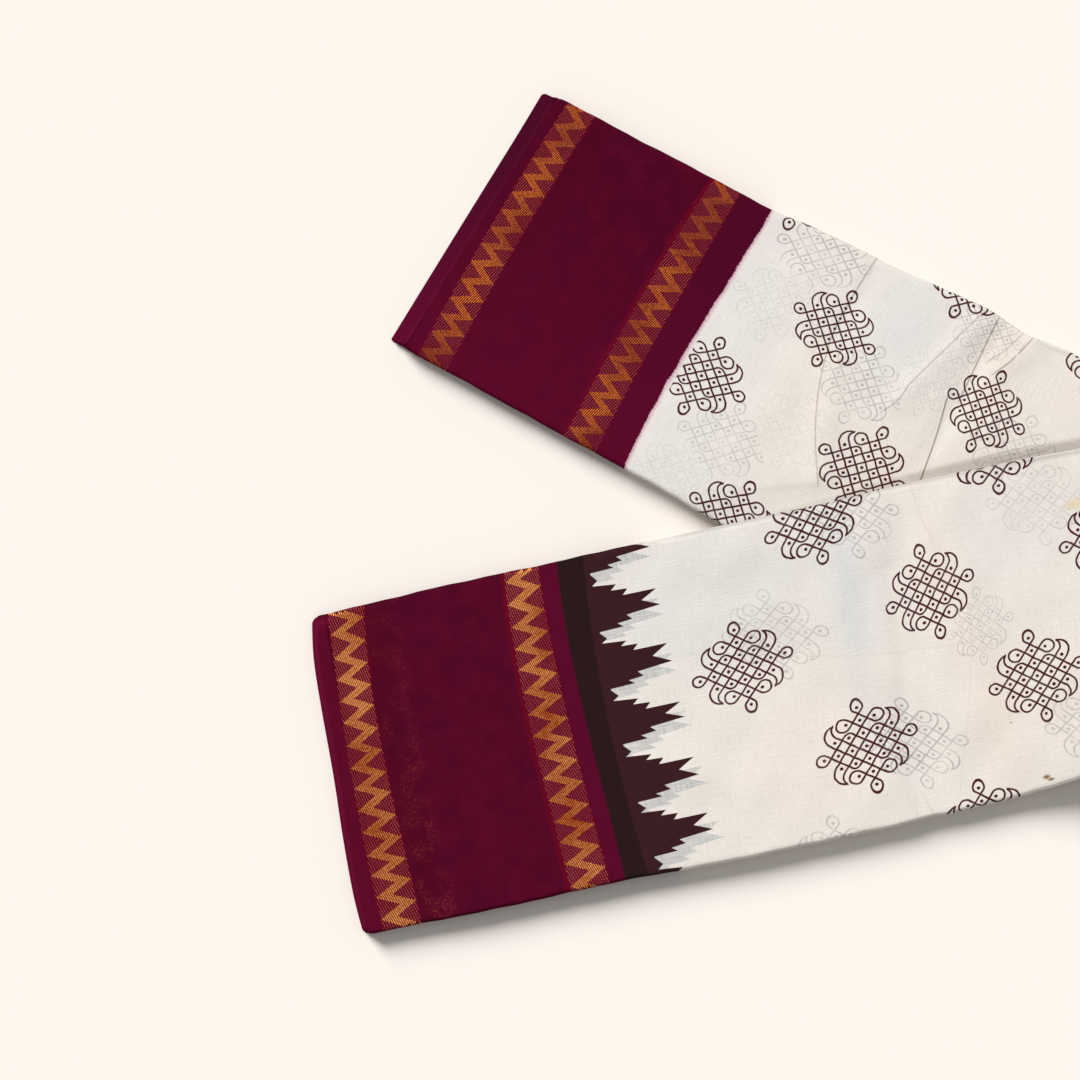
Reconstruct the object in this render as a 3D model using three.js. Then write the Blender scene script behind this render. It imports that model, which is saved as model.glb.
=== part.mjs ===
// Cotton saree, folded lengthwise into one long strip and turned back on itself.
// The strip lies as a V: the under arm rests on the surface, the strip turns over at the right,
// and the over arm comes back across it and down to the surface. Millimetres, +Z up.
// Every stretch of cloth that shows is a thin leaf on the packet of hidden layers below it.
import * as THREE from "three";

// Driving sizes of the cloth and of the folded packet
const LEAF = 1.2;              // wall of a leaf that shows
const GAP = 0.3;               // air between pieces that touch
const PACKET = 12.1;           // 24 layers pressed flat, leaf included
const EDGE_RADIUS = 3.0;       // rounding of the leaf over a long folded edge
const CORNER_RADIUS = 7;       // rounding of the strip's corners, seen from above
const CORNER_SETBACK = 4;      // the hidden layers' corners start this far inside the leaf's own
const RAMP_START = 14;         // how far the over arm stays level past the under arm's front edge
const RAMP = 62;               // and how far it then takes to come down to the surface
const BORDER = 180;            // dyed border, from the selvedge to the white field
const TEMPLE_BAND = 75;        // dark band and its row of teeth, next to the over arm's border
const GROOVE = 1.3;            // depth of the grooves between the stacked folds at the packet's sides
const LOBE_FLANKS = [0.22, 0.78];  // where the round of a fold starts and ends, as shares of its height
const TOP_LOBE_INSET = 0.8;    // the groove under the topmost fold is cut from here
const CALM_AT_TURN = [10, 60]; // the leaf lies smooth this near the fold line, and is free from here on
const CALM_AT_OVER_ARM = [2, 22];  // and likewise beside the over arm's rear edge
const END_BOW_LENGTH = 150;    // the bow of the free end has faded out this far along the arm

// Places in plan
const TURN_MIDDLE = new THREE.Vector2(290.9, -54.0);
const TURN_HEADING = 78.6;     // degrees, the fold line, from the front corner to the rear one
const TURN_HALF_LENGTH = 122.3;

// Mesh sizes
const STATION_STEP = 25;
const FIRST_STATION = 32;
const COLUMNS = [-1, -0.78, -0.56, -0.34, -0.12, 0.12, 0.34, 0.56, 0.78, 1];
const CURL_ANGLES = [0, 30, 60];       // round a long edge, from its side up to the flat
const TURN_STEPS = 12;
const COARSE_CURL_ANGLES = [0, 45];    // the same where fewer faces do

// Outline of each arm: half widths to the rear and front edge, how far the section leans towards
// the turn on its rear side, and how much thicker than pressed flat the packet lies there,
// at a distance along the arm from its free end. endLine gives how far out the free end bows
// beyond that, from the front edge's share of the half width, -1, to the rear edge's, 1.
const UNDER_ARM = {
  heading: -27.9,
  length: 572.7,
  outline: [
    { along: 0, rear: 107.0, front: 104.2, lean: 7.1, rise: -0.9 },
    { along: 25, rear: 107.8, front: 104.7, lean: 6.5, rise: -0.5 },
    { along: 65, rear: 107.5, front: 105.2, lean: 5.4, rise: 0.1 },
    { along: 130, rear: 108.0, front: 106.4, lean: 4, rise: 0.5 },
    { along: 187, rear: 108.0, front: 107.1, lean: 2.7, rise: 0.8 },
    { along: 230, rear: 111.3, front: 108.4, lean: 1.6, rise: 0.9 },
    { along: 290, rear: 112.9, front: 111.4, lean: 0, rise: 0.9 },
    { along: 362, rear: 117.4, front: 113.2, lean: -3, rise: 0.6 },
    { along: 402, rear: 114.6, front: 114.2, lean: -7, rise: 0.3 },
    { along: 440, rear: 118.0, front: 115.2, lean: -12, rise: 0.2 },
    { along: 572.7, rear: 117.2, front: 117.2, lean: -34.7, rise: 0 },
  ],
  endLine: [
    { share: -1, bow: 2.3 },
    { share: 0, bow: 2.6 },
    { share: 0.7, bow: 2.5 },
    { share: 1, bow: 2.9 },
  ],
  // stacked leaves of the packet from the bottom up, each set in from the outline
  lobes: [
    { height: 2.2, rear: 0.9, front: 0.3, end: 0 },
    { height: 2.0, rear: 0.2, front: 1.1, end: 2.6 },
    { height: 2.1, rear: 0.8, front: 0.4, end: 5.4 },
    { height: 1.9, rear: 0.4, front: 0.9, end: 8.0 },
  ],
  seams: [BORDER],
  topLobeEnd: 10.2,
  leafStart: 12.4,
  leafSlant: 0,
  // soft troughs and ridges of the leaf: from one place to another, along and across the arm
  folds: [
    { along: 277, across: 100, toAlong: 272, toAcross: 30, rise: -0.9, spread: 9 },
    { along: 280, across: 30, toAlong: 316, toAcross: -60, rise: 1.3, spread: 11 },
    { along: 362, across: 106, toAlong: 334, toAcross: 26, rise: 1.1, spread: 9 },
    { along: 372, across: 100, toAlong: 372, toAcross: -8, rise: -1.0, spread: 9 },
    { along: 402, across: 108, toAlong: 388, toAcross: 76, rise: 0.9, spread: 9 },
  ],
};
const OVER_ARM = {
  heading: 12.6,
  length: 611.6,
  outline: [
    { along: 0, rear: 116.6, front: 115.9, lean: 4.1, rise: -0.8 },
    { along: 30, rear: 116.6, front: 116.4, lean: 4, rise: -0.4 },
    { along: 98, rear: 117.6, front: 118.1, lean: 3.6, rise: 0.3 },
    { along: 182, rear: 116.8, front: 118.1, lean: 2.7, rise: 0.6 },
    { along: 218, rear: 117.1, front: 119.6, lean: 2.2, rise: 0.7 },
    { along: 253, rear: 116.7, front: 121.1, lean: 1.5, rise: 0.8 },
    { along: 310, rear: 116.2, front: 122.0, lean: 0, rise: 0.9 },
    { along: 385, rear: 116.0, front: 122.6, lean: 1, rise: 0.7 },
    { along: 408, rear: 116.4, front: 122.0, lean: 3, rise: 0.5 },
    { along: 430, rear: 117.0, front: 122.1, lean: 6, rise: 0.4 },
    { along: 505, rear: 115.6, front: 120.6, lean: 23, rise: 0.2 },
    { along: 611.6, rear: 111.7, front: 111.7, lean: 49.7, rise: 0 },
  ],
  endLine: [
    { share: -1, bow: 6.9 },
    { share: -0.75, bow: 8.8 },
    { share: -0.4, bow: 8.7 },
    { share: 0, bow: 7.2 },
    { share: 0.45, bow: 6.8 },
    { share: 0.75, bow: 5.6 },
    { share: 1, bow: 1.4 },
  ],
  lobes: [
    { height: 2.1, rear: 0.4, front: 1.0, end: 0 },
    { height: 2.0, rear: 1.0, front: 0.2, end: 0.9 },
    { height: 2.2, rear: 0.3, front: 0.8, end: 1.7 },
    { height: 1.9, rear: 0.8, front: 0.4, end: 2.5 },
  ],
  seams: [BORDER, BORDER + TEMPLE_BAND],
  topLobeEnd: 3.3,
  leafStart: 8.6,
  leafSlant: 4.6,
  folds: [
    { along: 432, across: 118, toAlong: 412, toAcross: -122, rise: -1.7, spread: 13 },
    { along: 470, across: 100, toAlong: 466, toAcross: -20, rise: 1.2, spread: 14 },
    { along: 262, across: 34, toAlong: 520, toAcross: -26, rise: -0.8, spread: 16 },
    { along: 300, across: 96, toAlong: 400, toAcross: 80, rise: 1.0, spread: 18 },
    { along: 330, across: -72, toAlong: 380, toAcross: -96, rise: 0.9, spread: 16 },
  ],
};

// Nested folds at both ends of the turn, from the outside in: each point's set-back from the
// fold line's end, and its depth below the turn's outside
const TURN_RIMS = [
  { inset: 3.0, depth: 1.5 },
  { inset: 1.9, depth: 1.9 },
  { inset: 1.5, depth: 3.0 },
  { inset: 1.5, depth: 3.8 },
  { inset: 2.6, depth: 4.2 },
  { inset: 0.6, depth: 4.6 },
  { inset: 0.6, depth: 6.0 },
  { inset: 2.0, depth: 6.4 },
  { inset: 1.0, depth: 6.8 },
  { inset: 1.0, depth: 8.2 },
  { inset: 2.3, depth: 8.6 },
  { inset: 0.8, depth: 9.0 },
  { inset: 0.8, depth: 11.4 },
  { inset: 1.6, depth: 12.25 },
];

const OVER_BASE = PACKET + GAP;              // underside of the over arm where it lies on the other
const TURN_RADIUS = (PACKET + OVER_BASE) / 2;
const SKIN_DEPTH = LEAF + GAP;               // from the outside down to the hidden layers

const clothFinish = (color, roughness) => new THREE.MeshStandardMaterial({ color, roughness, metalness: 0 });
const dyedBorder = clothFinish(0x580a24, 0.82);
const darkBand = clothFinish(0x2e181b, 0.86);
const whiteField = clothFinish(0xece6de, 0.88);
const layeredCloth = clothFinish(0xe2dbd2, 0.9);

const radians = THREE.MathUtils.degToRad;
const onHeading = (degrees) => new THREE.Vector2(Math.cos(radians(degrees)), Math.sin(radians(degrees)));

// A smooth curve through one column of a table, by cubic pieces with shared slopes
function columnAt(table, column, at, key = "along") {
  const last = table.length - 1;
  const place = THREE.MathUtils.clamp(at, table[0][key], table[last][key]);
  let row = 0;
  while (row < last - 1 && table[row + 1][key] < place) row += 1;
  const slopeAt = (index) => {
    const before = table[Math.max(index - 1, 0)];
    const after = table[Math.min(index + 1, last)];
    return (after[column] - before[column]) / (after[key] - before[key]);
  };
  const span = table[row + 1][key] - table[row][key];
  const t = (place - table[row][key]) / span;
  const fromStart = (1 + 2 * t) * (1 - t) ** 2 * table[row][column];
  const fromEnd = t * t * (3 - 2 * t) * table[row + 1][column];
  const slopes = t * (1 - t) ** 2 * slopeAt(row) - t * t * (1 - t) * slopeAt(row + 1);
  return fromStart + fromEnd + slopes * span;
}

// The strip narrows over its last millimetres, which rounds its corners in plan
function cornerCut(fromEnd) {
  const reach = THREE.MathUtils.clamp(CORNER_RADIUS - fromEnd, 0, CORNER_RADIUS);
  return CORNER_RADIUS - Math.sqrt(CORNER_RADIUS ** 2 - reach ** 2);
}

// A place in plan from the distance along an arm and the share across it, -1 front to 1 rear
function planPoint(arm, along, share, inset, end) {
  const half = columnAt(arm.outline, share > 0 ? "rear" : "front", along);
  const across = share * (half - inset - cornerCut(along - end));
  const lean = (across / half) * columnAt(arm.outline, "lean", along);
  const fade = 1 - THREE.MathUtils.smoothstep(along, 0, END_BOW_LENGTH);
  const bow = fade * columnAt(arm.endLine, "bow", across / half, "share");
  return { onward: along + lean - bow, across };
}

function toWorld(arm, { onward, across }) {
  const forward = onHeading(arm.heading);
  const sideways = onHeading(arm.heading + 90);
  const start = TURN_MIDDLE.clone().addScaledVector(forward, -arm.length);
  return start.addScaledVector(forward, onward).addScaledVector(sideways, across);
}

function fromWorld(arm, place) {
  const forward = onHeading(arm.heading);
  const sideways = onHeading(arm.heading + 90);
  const offset = place.clone().sub(TURN_MIDDLE);
  return { onward: arm.length + offset.dot(forward), across: offset.dot(sideways) };
}

// Height of a soft trough or ridge, fading away from its line
function foldHeight(fold, onward, across) {
  const run = new THREE.Vector2(fold.toAlong - fold.along, fold.toAcross - fold.across);
  const offset = new THREE.Vector2(onward - fold.along, across - fold.across);
  const share = THREE.MathUtils.clamp(offset.dot(run) / run.lengthSq(), 0, 1);
  const distance = offset.addScaledVector(run, -share).length();
  return fold.rise * Math.exp(-((distance / fold.spread) ** 2));
}

// Thickness of the packet with its troughs and ridges, pressed flat at the turn and under the other arm
function thicknessAt(arm, place) {
  const { onward, across } = fromWorld(arm, place);
  const fromTurn = -place.clone().sub(TURN_MIDDLE).dot(onHeading(TURN_HEADING - 90));
  let fade = THREE.MathUtils.smoothstep(fromTurn, ...CALM_AT_TURN);
  if (arm === UNDER_ARM) fade *= clearOfOverArm(place);
  const relief = arm.folds.reduce((sum, fold) => sum + foldHeight(fold, onward, across), 0);
  return PACKET + fade * (relief + columnAt(arm.outline, "rise", onward));
}

function clearOfOverArm(place) {
  const { onward, across } = fromWorld(OVER_ARM, place);
  const outside = across - columnAt(OVER_ARM.outline, "rear", onward);
  return THREE.MathUtils.smoothstep(outside, ...CALM_AT_OVER_ARM);
}

// Height of an arm's underside: the over arm climbs the other arm's front edge
function undersideAt(arm, place) {
  if (arm === UNDER_ARM) return 0;
  const { onward, across } = fromWorld(UNDER_ARM, place);
  const outside = -across - columnAt(UNDER_ARM.outline, "front", onward);
  return OVER_BASE * (1 - THREE.MathUtils.smoothstep(outside, RAMP_START, RAMP_START + RAMP));
}

// Places on a skin of the packet, a given depth below its outside, as rows along the arm.
// The outside rounds over both long edges: curl is the angle there, 90 on the flat.
function skinPoint(arm, along, end, column, depth) {
  const radius = EDGE_RADIUS - depth;
  const curl = radians(column.curl);
  const inset = EDGE_RADIUS - radius * Math.cos(curl);
  const drop = EDGE_RADIUS - radius * Math.sin(curl);
  const place = toWorld(arm, planPoint(arm, along, column.share, inset, end));
  return new THREE.Vector3(place.x, place.y, undersideAt(arm, place) + thicknessAt(arm, place) - drop);
}

const SKIN_COLUMNS = [
  ...CURL_ANGLES.map((curl) => ({ share: -1, curl })),
  ...COLUMNS.map((share) => ({ share, curl: 90 })),
  ...CURL_ANGLES.toReversed().map((curl) => ({ share: 1, curl })),
];

// Stations of one stretch, from the first to the last, evenly spaced
function evenStations(from, to) {
  const count = Math.ceil((to - from) / STATION_STEP);
  return Array.from({ length: count + 1 }, (_, index) => from + ((to - from) * index) / count);
}

// Stations of a free end, in corner radii, closer together over its rounded corners
const LEAF_CORNER = [0, 0.12, 0.45, 1];
const PACKET_CORNER = [...LEAF_CORNER, 1.6, 2.2];

// Where the leaf that shows starts, which may lie askew on the leaves below it
const leafEnd = (arm, share) => arm.leafStart + arm.leafSlant * share;

function pointGeometry(points, faces) {
  const geometry = new THREE.BufferGeometry().setFromPoints(points);
  let volume = 0;
  for (const [a, b, c] of faces) {
    volume += points[a].dot(new THREE.Vector3().crossVectors(points[b], points[c]));
  }
  const outward = volume < 0 ? faces.map(([a, b, c]) => [a, c, b]) : faces;
  geometry.setIndex(outward.flat());
  geometry.computeVertexNormals();
  return geometry;
}

// Collects points that faces share, and the faces between rows of them. Turned faces look the other
// way but split along the same diagonals, so that a wall's two sides stay parallel.
function shapeMaker() {
  const points = [];
  const faces = [];
  const add = (point) => points.push(point) - 1;
  const triangle = (a, b, c, turned) => {
    if (a !== b && b !== c && c !== a) faces.push(turned ? [a, c, b] : [a, b, c]);
  };
  const strip = (first, second, turned = false) => {
    for (let index = 0; index + 1 < first.length; index += 1) {
      triangle(first[index], first[index + 1], second[index + 1], turned);
      triangle(first[index], second[index + 1], second[index], turned);
    }
  };
  const sheet = (rows, turned) => rows.slice(1).forEach((row, index) => strip(rows[index], row, turned));
  const finish = () => pointGeometry(points, faces);
  return { add, strip, sheet, finish };
}

const edgeLoop = (rows) => {
  const lastRow = rows.length - 1;
  const first = rows.map((row) => row[0]);
  const last = rows.map((row) => row.at(-1)).toReversed();
  const loop = [...first, ...rows[lastRow].slice(1, -1), ...last, ...rows[0].slice(1, -1).toReversed()];
  return [...loop, loop[0]];
};

// A wall of cloth between an outer and an inner sheet of places
function wallBetween(outerRows, innerRows) {
  const shape = shapeMaker();
  const outer = outerRows.map((row) => row.map(shape.add));
  const inner = innerRows.map((row) => row.map(shape.add));
  shape.sheet(outer);
  shape.sheet(inner, true);
  shape.strip(edgeLoop(outer), edgeLoop(inner));
  return shape.finish();
}

// One stretch of the leaf that shows, from one distance along the arm to another
function leafWall(arm, from, to) {
  const rowsAt = (depth) => evenStations(from, to).map((along) => (
    SKIN_COLUMNS.map((column) => skinPoint(arm, along, -CORNER_RADIUS, column, depth))));
  return wallBetween(rowsAt(0), rowsAt(LEAF));
}

// The stretch of that leaf at the free end, with its rounded corners
function leafWallFromEnd(arm, to) {
  const rowsAt = (depth) => {
    const corner = LEAF_CORNER.map((radii) => SKIN_COLUMNS.map((column) => {
      const end = leafEnd(arm, column.share);
      return skinPoint(arm, end + radii * CORNER_RADIUS, end, column, depth);
    }));
    const rest = evenStations(FIRST_STATION, to).map((along) => (
      SKIN_COLUMNS.map((column) => skinPoint(arm, along, -CORNER_RADIUS, column, depth))));
    return [...corner, ...rest];
  };
  return wallBetween(rowsAt(0), rowsAt(LEAF));
}

// Rings of the hidden layers, from the underside up: rounded leaves with grooves between them
function lobeRings(arm) {
  const topLobe = { rear: TOP_LOBE_INSET, front: TOP_LOBE_INSET, end: arm.topLobeEnd };
  const [lowest] = arm.lobes;
  const rings = [{ height: 0, rear: lowest.rear + GROOVE, front: lowest.front + GROOVE, end: GROOVE }];
  let floor = 0;
  arm.lobes.forEach((lobe, index) => {
    const above = arm.lobes[index + 1] ?? topLobe;
    for (const flank of LOBE_FLANKS) rings.push({ ...lobe, height: floor + flank * lobe.height });
    floor += lobe.height;
    const rear = Math.max(lobe.rear, above.rear) + GROOVE;
    const front = Math.max(lobe.front, above.front) + GROOVE;
    rings.push({ height: floor, rear, front, end: above.end + GROOVE });
  });
  return rings;
}

// The packet of hidden layers under the leaves: ringed sides, staggered selvedges at its free end
function layeredPacket(arm) {
  const seams = [FIRST_STATION, ...arm.seams, arm.length - GAP / 2];
  const common = seams.slice(1).flatMap((to, index) => evenStations(seams[index], to).slice(1));
  const rowsOf = (end, pointFor) => {
    const corner = PACKET_CORNER.map((radii) => end + radii * CORNER_RADIUS);
    return [...corner, FIRST_STATION, ...common].map((along, row) => (
      COLUMNS.map((share) => pointFor(along, share, row))));
  };
  const ringRows = (ring) => rowsOf(ring.end, (along, share) => {
    const plan = planPoint(arm, along, share, share > 0 ? ring.rear : ring.front, ring.end);
    const place = toWorld(arm, plan);
    const height = (ring.height * thicknessAt(arm, place)) / PACKET;
    return new THREE.Vector3(place.x, place.y, undersideAt(arm, place) + height);
  });
  const topBend = EDGE_RADIUS - SKIN_DEPTH;
  const topRows = (curl) => {
    const end = arm.topLobeEnd + topBend * (1 - Math.cos(radians(curl)));
    return rowsOf(end, (along, share, row) => {
      const isRim = Math.abs(share) === 1 || row === 0;
      const column = { share, curl: isRim ? curl : 90 };
      return skinPoint(arm, along, leafEnd(arm, share) + CORNER_SETBACK, column, SKIN_DEPTH);
    });
  };
  const sections = [...lobeRings(arm).map(ringRows), ...COARSE_CURL_ANGLES.map(topRows), topRows(90)];

  const shape = shapeMaker();
  const lastSection = sections.length - 1;
  const loops = sections.map((rows, index) => {
    if (index === 0 || index === lastSection) {
      const grid = rows.map((row) => row.map(shape.add));
      shape.sheet(grid, index === lastSection);
      return edgeLoop(grid);
    }
    const loop = edgeLoop(rows).slice(0, -1).map(shape.add);
    return [...loop, loop[0]];
  });
  loops.slice(1).forEach((loop, index) => shape.strip(loops[index], loop));
  return shape.finish();
}

// A place on the turn: a distance along the fold line, a radius and an angle round it
function turnPoint(alongFold, radius, angle) {
  const outward = onHeading(TURN_HEADING - 90);
  const place = TURN_MIDDLE.clone().addScaledVector(onHeading(TURN_HEADING), alongFold);
  place.addScaledVector(outward, GAP / 2 + radius * Math.cos(radians(angle)));
  return new THREE.Vector3(place.x, place.y, TURN_RADIUS + radius * Math.sin(radians(angle)));
}

const turnAngles = Array.from({ length: TURN_STEPS + 1 }, (_, step) => -90 + (180 * step) / TURN_STEPS);

// The leaf that wraps the turn, rounded over at both ends of the fold line
function turnLeaf() {
  const stations = [
    ...COARSE_CURL_ANGLES.map((curl) => ({ share: -1, curl })),
    ...[-1, -0.5, 0, 0.5, 1].map((share) => ({ share, curl: 90 })),
    ...COARSE_CURL_ANGLES.toReversed().map((curl) => ({ share: 1, curl })),
  ];
  const rowsAt = (depth) => stations.map(({ share, curl }) => {
    const bend = EDGE_RADIUS - depth;
    const inset = EDGE_RADIUS - bend * Math.cos(radians(curl));
    const drop = EDGE_RADIUS - bend * Math.sin(radians(curl));
    const alongFold = share * (TURN_HALF_LENGTH - inset);
    return turnAngles.map((angle) => turnPoint(alongFold, TURN_RADIUS - drop, angle));
  });
  return wallBetween(rowsAt(0), rowsAt(LEAF));
}

// The layers inside the turn: nested rounds, whose edges show at both ends of the fold line
function turnPacket() {
  const profile = [
    ...TURN_RIMS.toReversed().map((rim) => ({ side: 1, ...rim })),
    ...TURN_RIMS.map((rim) => ({ side: -1, ...rim })),
  ];
  const shape = shapeMaker();
  const rows = profile.map(({ side, inset, depth }) => {
    const alongFold = side * (TURN_HALF_LENGTH - inset);
    const radius = TURN_RADIUS - depth;
    if (radius <= 0) return Array(turnAngles.length).fill(shape.add(turnPoint(alongFold, 0, 0)));
    return turnAngles.map((angle) => shape.add(turnPoint(alongFold, radius, angle)));
  });
  shape.sheet(rows);
  shape.strip(rows.map((row) => row[0]), rows.map((row) => row.at(-1)));
  return shape.finish();
}

const saree = new THREE.Group();
function place(name, geometry, material) {
  const mesh = new THREE.Mesh(geometry, material);
  mesh.name = name;
  saree.add(mesh);
}

const seam = GAP / 2;
const templeEnd = BORDER + TEMPLE_BAND;
const underEnd = UNDER_ARM.length - seam;
const overEnd = OVER_ARM.length - seam;
place("under_arm_layers", layeredPacket(UNDER_ARM), layeredCloth);
place("under_arm_border", leafWallFromEnd(UNDER_ARM, BORDER - seam), dyedBorder);
place("under_arm_field", leafWall(UNDER_ARM, BORDER + seam, underEnd), whiteField);
place("turn_layers", turnPacket(), layeredCloth);
place("turn_leaf", turnLeaf(), whiteField);
place("over_arm_layers", layeredPacket(OVER_ARM), layeredCloth);
place("over_arm_border", leafWallFromEnd(OVER_ARM, BORDER - seam), dyedBorder);
place("over_arm_temple_band", leafWall(OVER_ARM, BORDER + seam, templeEnd - seam), darkBand);
place("over_arm_field", leafWall(OVER_ARM, templeEnd + seam, overEnd), whiteField);

export default saree;
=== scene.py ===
# Cotton saree, folded lengthwise into a long strip and turned back on itself in a V.
# Lengths are in millimetres until a mesh is made, where they become metres.
import math
import bpy
import numpy as np
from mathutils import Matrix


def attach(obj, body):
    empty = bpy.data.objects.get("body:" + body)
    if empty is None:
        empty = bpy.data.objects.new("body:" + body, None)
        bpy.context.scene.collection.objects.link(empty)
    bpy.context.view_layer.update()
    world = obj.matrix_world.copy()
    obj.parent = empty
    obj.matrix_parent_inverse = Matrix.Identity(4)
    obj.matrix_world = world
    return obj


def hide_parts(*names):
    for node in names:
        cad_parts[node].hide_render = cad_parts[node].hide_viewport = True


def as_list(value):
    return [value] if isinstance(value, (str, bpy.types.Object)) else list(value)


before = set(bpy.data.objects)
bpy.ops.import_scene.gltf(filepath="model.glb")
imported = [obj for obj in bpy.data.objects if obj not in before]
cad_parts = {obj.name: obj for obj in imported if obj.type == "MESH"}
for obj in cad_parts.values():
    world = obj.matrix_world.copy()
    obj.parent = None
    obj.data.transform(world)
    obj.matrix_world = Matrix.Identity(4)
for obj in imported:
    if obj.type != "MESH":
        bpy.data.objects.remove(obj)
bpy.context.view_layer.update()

MM = 0.001

# The folded packet, as in the part's source
PACKET = 12.1
GAP = 0.3
EDGE_RADIUS = 3.0
RAMP_START, RAMP = 14.0, 62.0
END_BOW_LENGTH = 150.0
TURN_MIDDLE = np.array([290.9, -54.0])
TURN_HEADING = 78.6
OVER_BASE = PACKET + GAP
TURN_RADIUS = (PACKET + OVER_BASE) / 2

# Finish of the cloth
CLOTH = 0.5                 # a leaf that shows, two thicknesses of the folded cloth
LEAF_MESH = 2.2             # spacing of the mesh on a leaf that shows
PACKET_MESH = 4.0           # and on the folds below it
LAYERED_FOLDS = 12          # folds that show at the packet's sides, two of the 24 layers in each
HALF_WIDTH = 115.0          # of the strip, on average, for the number of columns in a mesh
FIRST_STATION = 32.0        # the mesh follows the free end up to here, and runs straight across after it
UNCUT_END = -10.0           # an end so far off that no corner is cut
CALM_AT_TURN = (10, 60)     # the packet lies smooth this near the fold line, and is free from here on
CALM_AT_OVER_ARM = (2, 22)  # and likewise beside the over arm's rear edge
CLOTH_LINE_REACH = 116.0    # distance across at which the cloth lines' outer places were measured

# Outline of each arm by distance from its free end: half widths to the rear and front edge, lean of
# the section towards the turn on its rear side, and extra thickness of the loosely lying packet.
# The end line gives how far the free end bows out beyond that, by share of the half width.
# Lines of the cloth run across the strip: distance from the selvedge, and where each lies along the
# arm at the front edge, half way, the middle, half way and the rear edge.
OUTLINE_COLUMNS = ("along", "rear", "front", "lean", "rise")
ACROSS_SHARES = (-1.0, -0.5, 0.0, 0.5, 1.0)
UNDER_ARM = {
    "side": "under", "heading": -27.9, "length": 572.7, "corners": (1.5, 3.2),
    "leaf_start": 12.4, "leaf_slant": 0.0, "packet_ends": 10.2,
    "end_line": [(-1, 2.3), (0, 2.6), (0.7, 2.5), (1, 2.9)],
    "outline": [
        (0, 107.0, 104.2, 7.1, -0.9), (25, 107.8, 104.7, 6.5, -0.5), (65, 107.5, 105.2, 5.4, 0.1),
        (130, 108.0, 106.4, 4.0, 0.5), (187, 108.0, 107.1, 2.7, 0.8), (230, 111.3, 108.4, 1.6, 0.9),
        (290, 112.9, 111.4, 0, 0.9), (362, 117.4, 113.2, -3, 0.6), (402, 114.6, 114.2, -7, 0.3),
        (440, 118.0, 115.2, -12, 0.2), (572.7, 117.2, 117.2, -34.7, 0),
    ],
    "cloth_lines": [
        (0.0, (-9.4, -6.6, -2.7, 1.0, 5.9)), (19.9, (13.5, 14.3, 17.2, 20.0, 25.2)),
        (42.7, (37.0, 37.7, 40.0, 42.7, 46.8)), (139.5, (133.9, 134.4, 136.8, 138.0, 144.5)),
        (163.5, (160.0, 158.8, 160.8, 162.1, 165.0)), (186.2, (183.3, 181.1, 183.5, 187.4, 190.8)),
        (260.0, (257.3, 257.3, 257.3, 257.3, 257.3)),
    ],
}
OVER_ARM = {
    "side": "over", "heading": 12.6, "length": 611.6, "corners": (4.0, 4.5),
    "leaf_start": 8.6, "leaf_slant": 4.6, "packet_ends": 3.3,
    "end_line": [(-1, 6.9), (-0.75, 8.8), (-0.4, 8.7), (0, 7.2), (0.45, 6.8), (0.75, 5.6), (1, 1.4)],
    "outline": [
        (0, 116.6, 115.9, 4.1, -0.8), (30, 116.6, 116.4, 4.0, -0.4), (98, 117.6, 118.1, 3.6, 0.3),
        (182, 116.8, 118.1, 2.7, 0.6), (218, 117.1, 119.6, 2.2, 0.7), (253, 116.7, 121.1, 1.5, 0.8),
        (310, 116.2, 122.0, 0, 0.9), (385, 116.0, 122.6, 1, 0.7), (408, 116.4, 122.0, 3, 0.5),
        (430, 117.0, 122.1, 6, 0.4), (505, 115.6, 120.6, 23, 0.2), (611.6, 111.7, 111.7, 49.7, 0),
    ],
    "cloth_lines": [
        (0.0, (-11.0, -10.8, -7.2, -4.9, 4.8)), (13.7, (4.3, 4.0, 6.5, 9.9, 15.0)),
        (39.9, (32.5, 31.2, 32.7, 34.0, 42.0)), (147.0, (142.5, 140.9, 139.8, 140.6, 145.0)),
        (174.9, (171.3, 168.9, 167.7, 167.6, 170.0)), (186.5, (182.3, 181.1, 179.3, 179.8, 183.8)),
        (202.2, (199.5, 196.0, 195.0, 197.9, 204.0)), (209.5, (207.5, 203.0, 202.3, 203.0, 206.5)),
        (257.6, (253.5, 251.1, 250.4, 250.3, 252.0)), (320.0, (312.8, 312.8, 312.8, 312.8, 312.8)),
    ],
}

# Soft troughs and ridges of the leaves: a line through places along and across the arm, its rise and
# its spread
UNDER_ARM["folds"] = [
    ([(277, 100), (272, 30)], -0.5, 9),
    ([(280, 30), (316, -60)], 0.7, 11),
    ([(362, 106), (334, 26)], 0.7, 9),
    ([(372, 100), (372, -8)], -0.7, 9),
    ([(402, 108), (388, 76)], 0.6, 9),
    ([(215, 20), (262, -8)], 0.35, 12),
    ([(222, -70), (262, -96)], 0.35, 10),
    ([(60, 40), (150, 62)], 0.25, 16),
    ([(70, -60), (140, -38)], -0.2, 14),
]
OVER_ARM["folds"] = [
    ([(432, 118), (412, -122)], -0.8, 13),
    ([(470, 100), (466, -20)], 0.6, 14),
    ([(262, 34), (520, -26)], -0.12, 16),
    ([(300, 96), (400, 80)], 0.4, 18),
    ([(330, -72), (380, -96)], 0.4, 16),
    ([(414, 60), (411, 0), (401, -63), (398, -123)], -0.5, 7),
    ([(225, 60), (300, 50)], 0.3, 14),
    ([(220, -50), (290, -70)], 0.3, 14),
    ([(50, 50), (150, 30)], 0.25, 18),
    ([(60, -70), (160, -60)], -0.2, 15),
]

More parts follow.
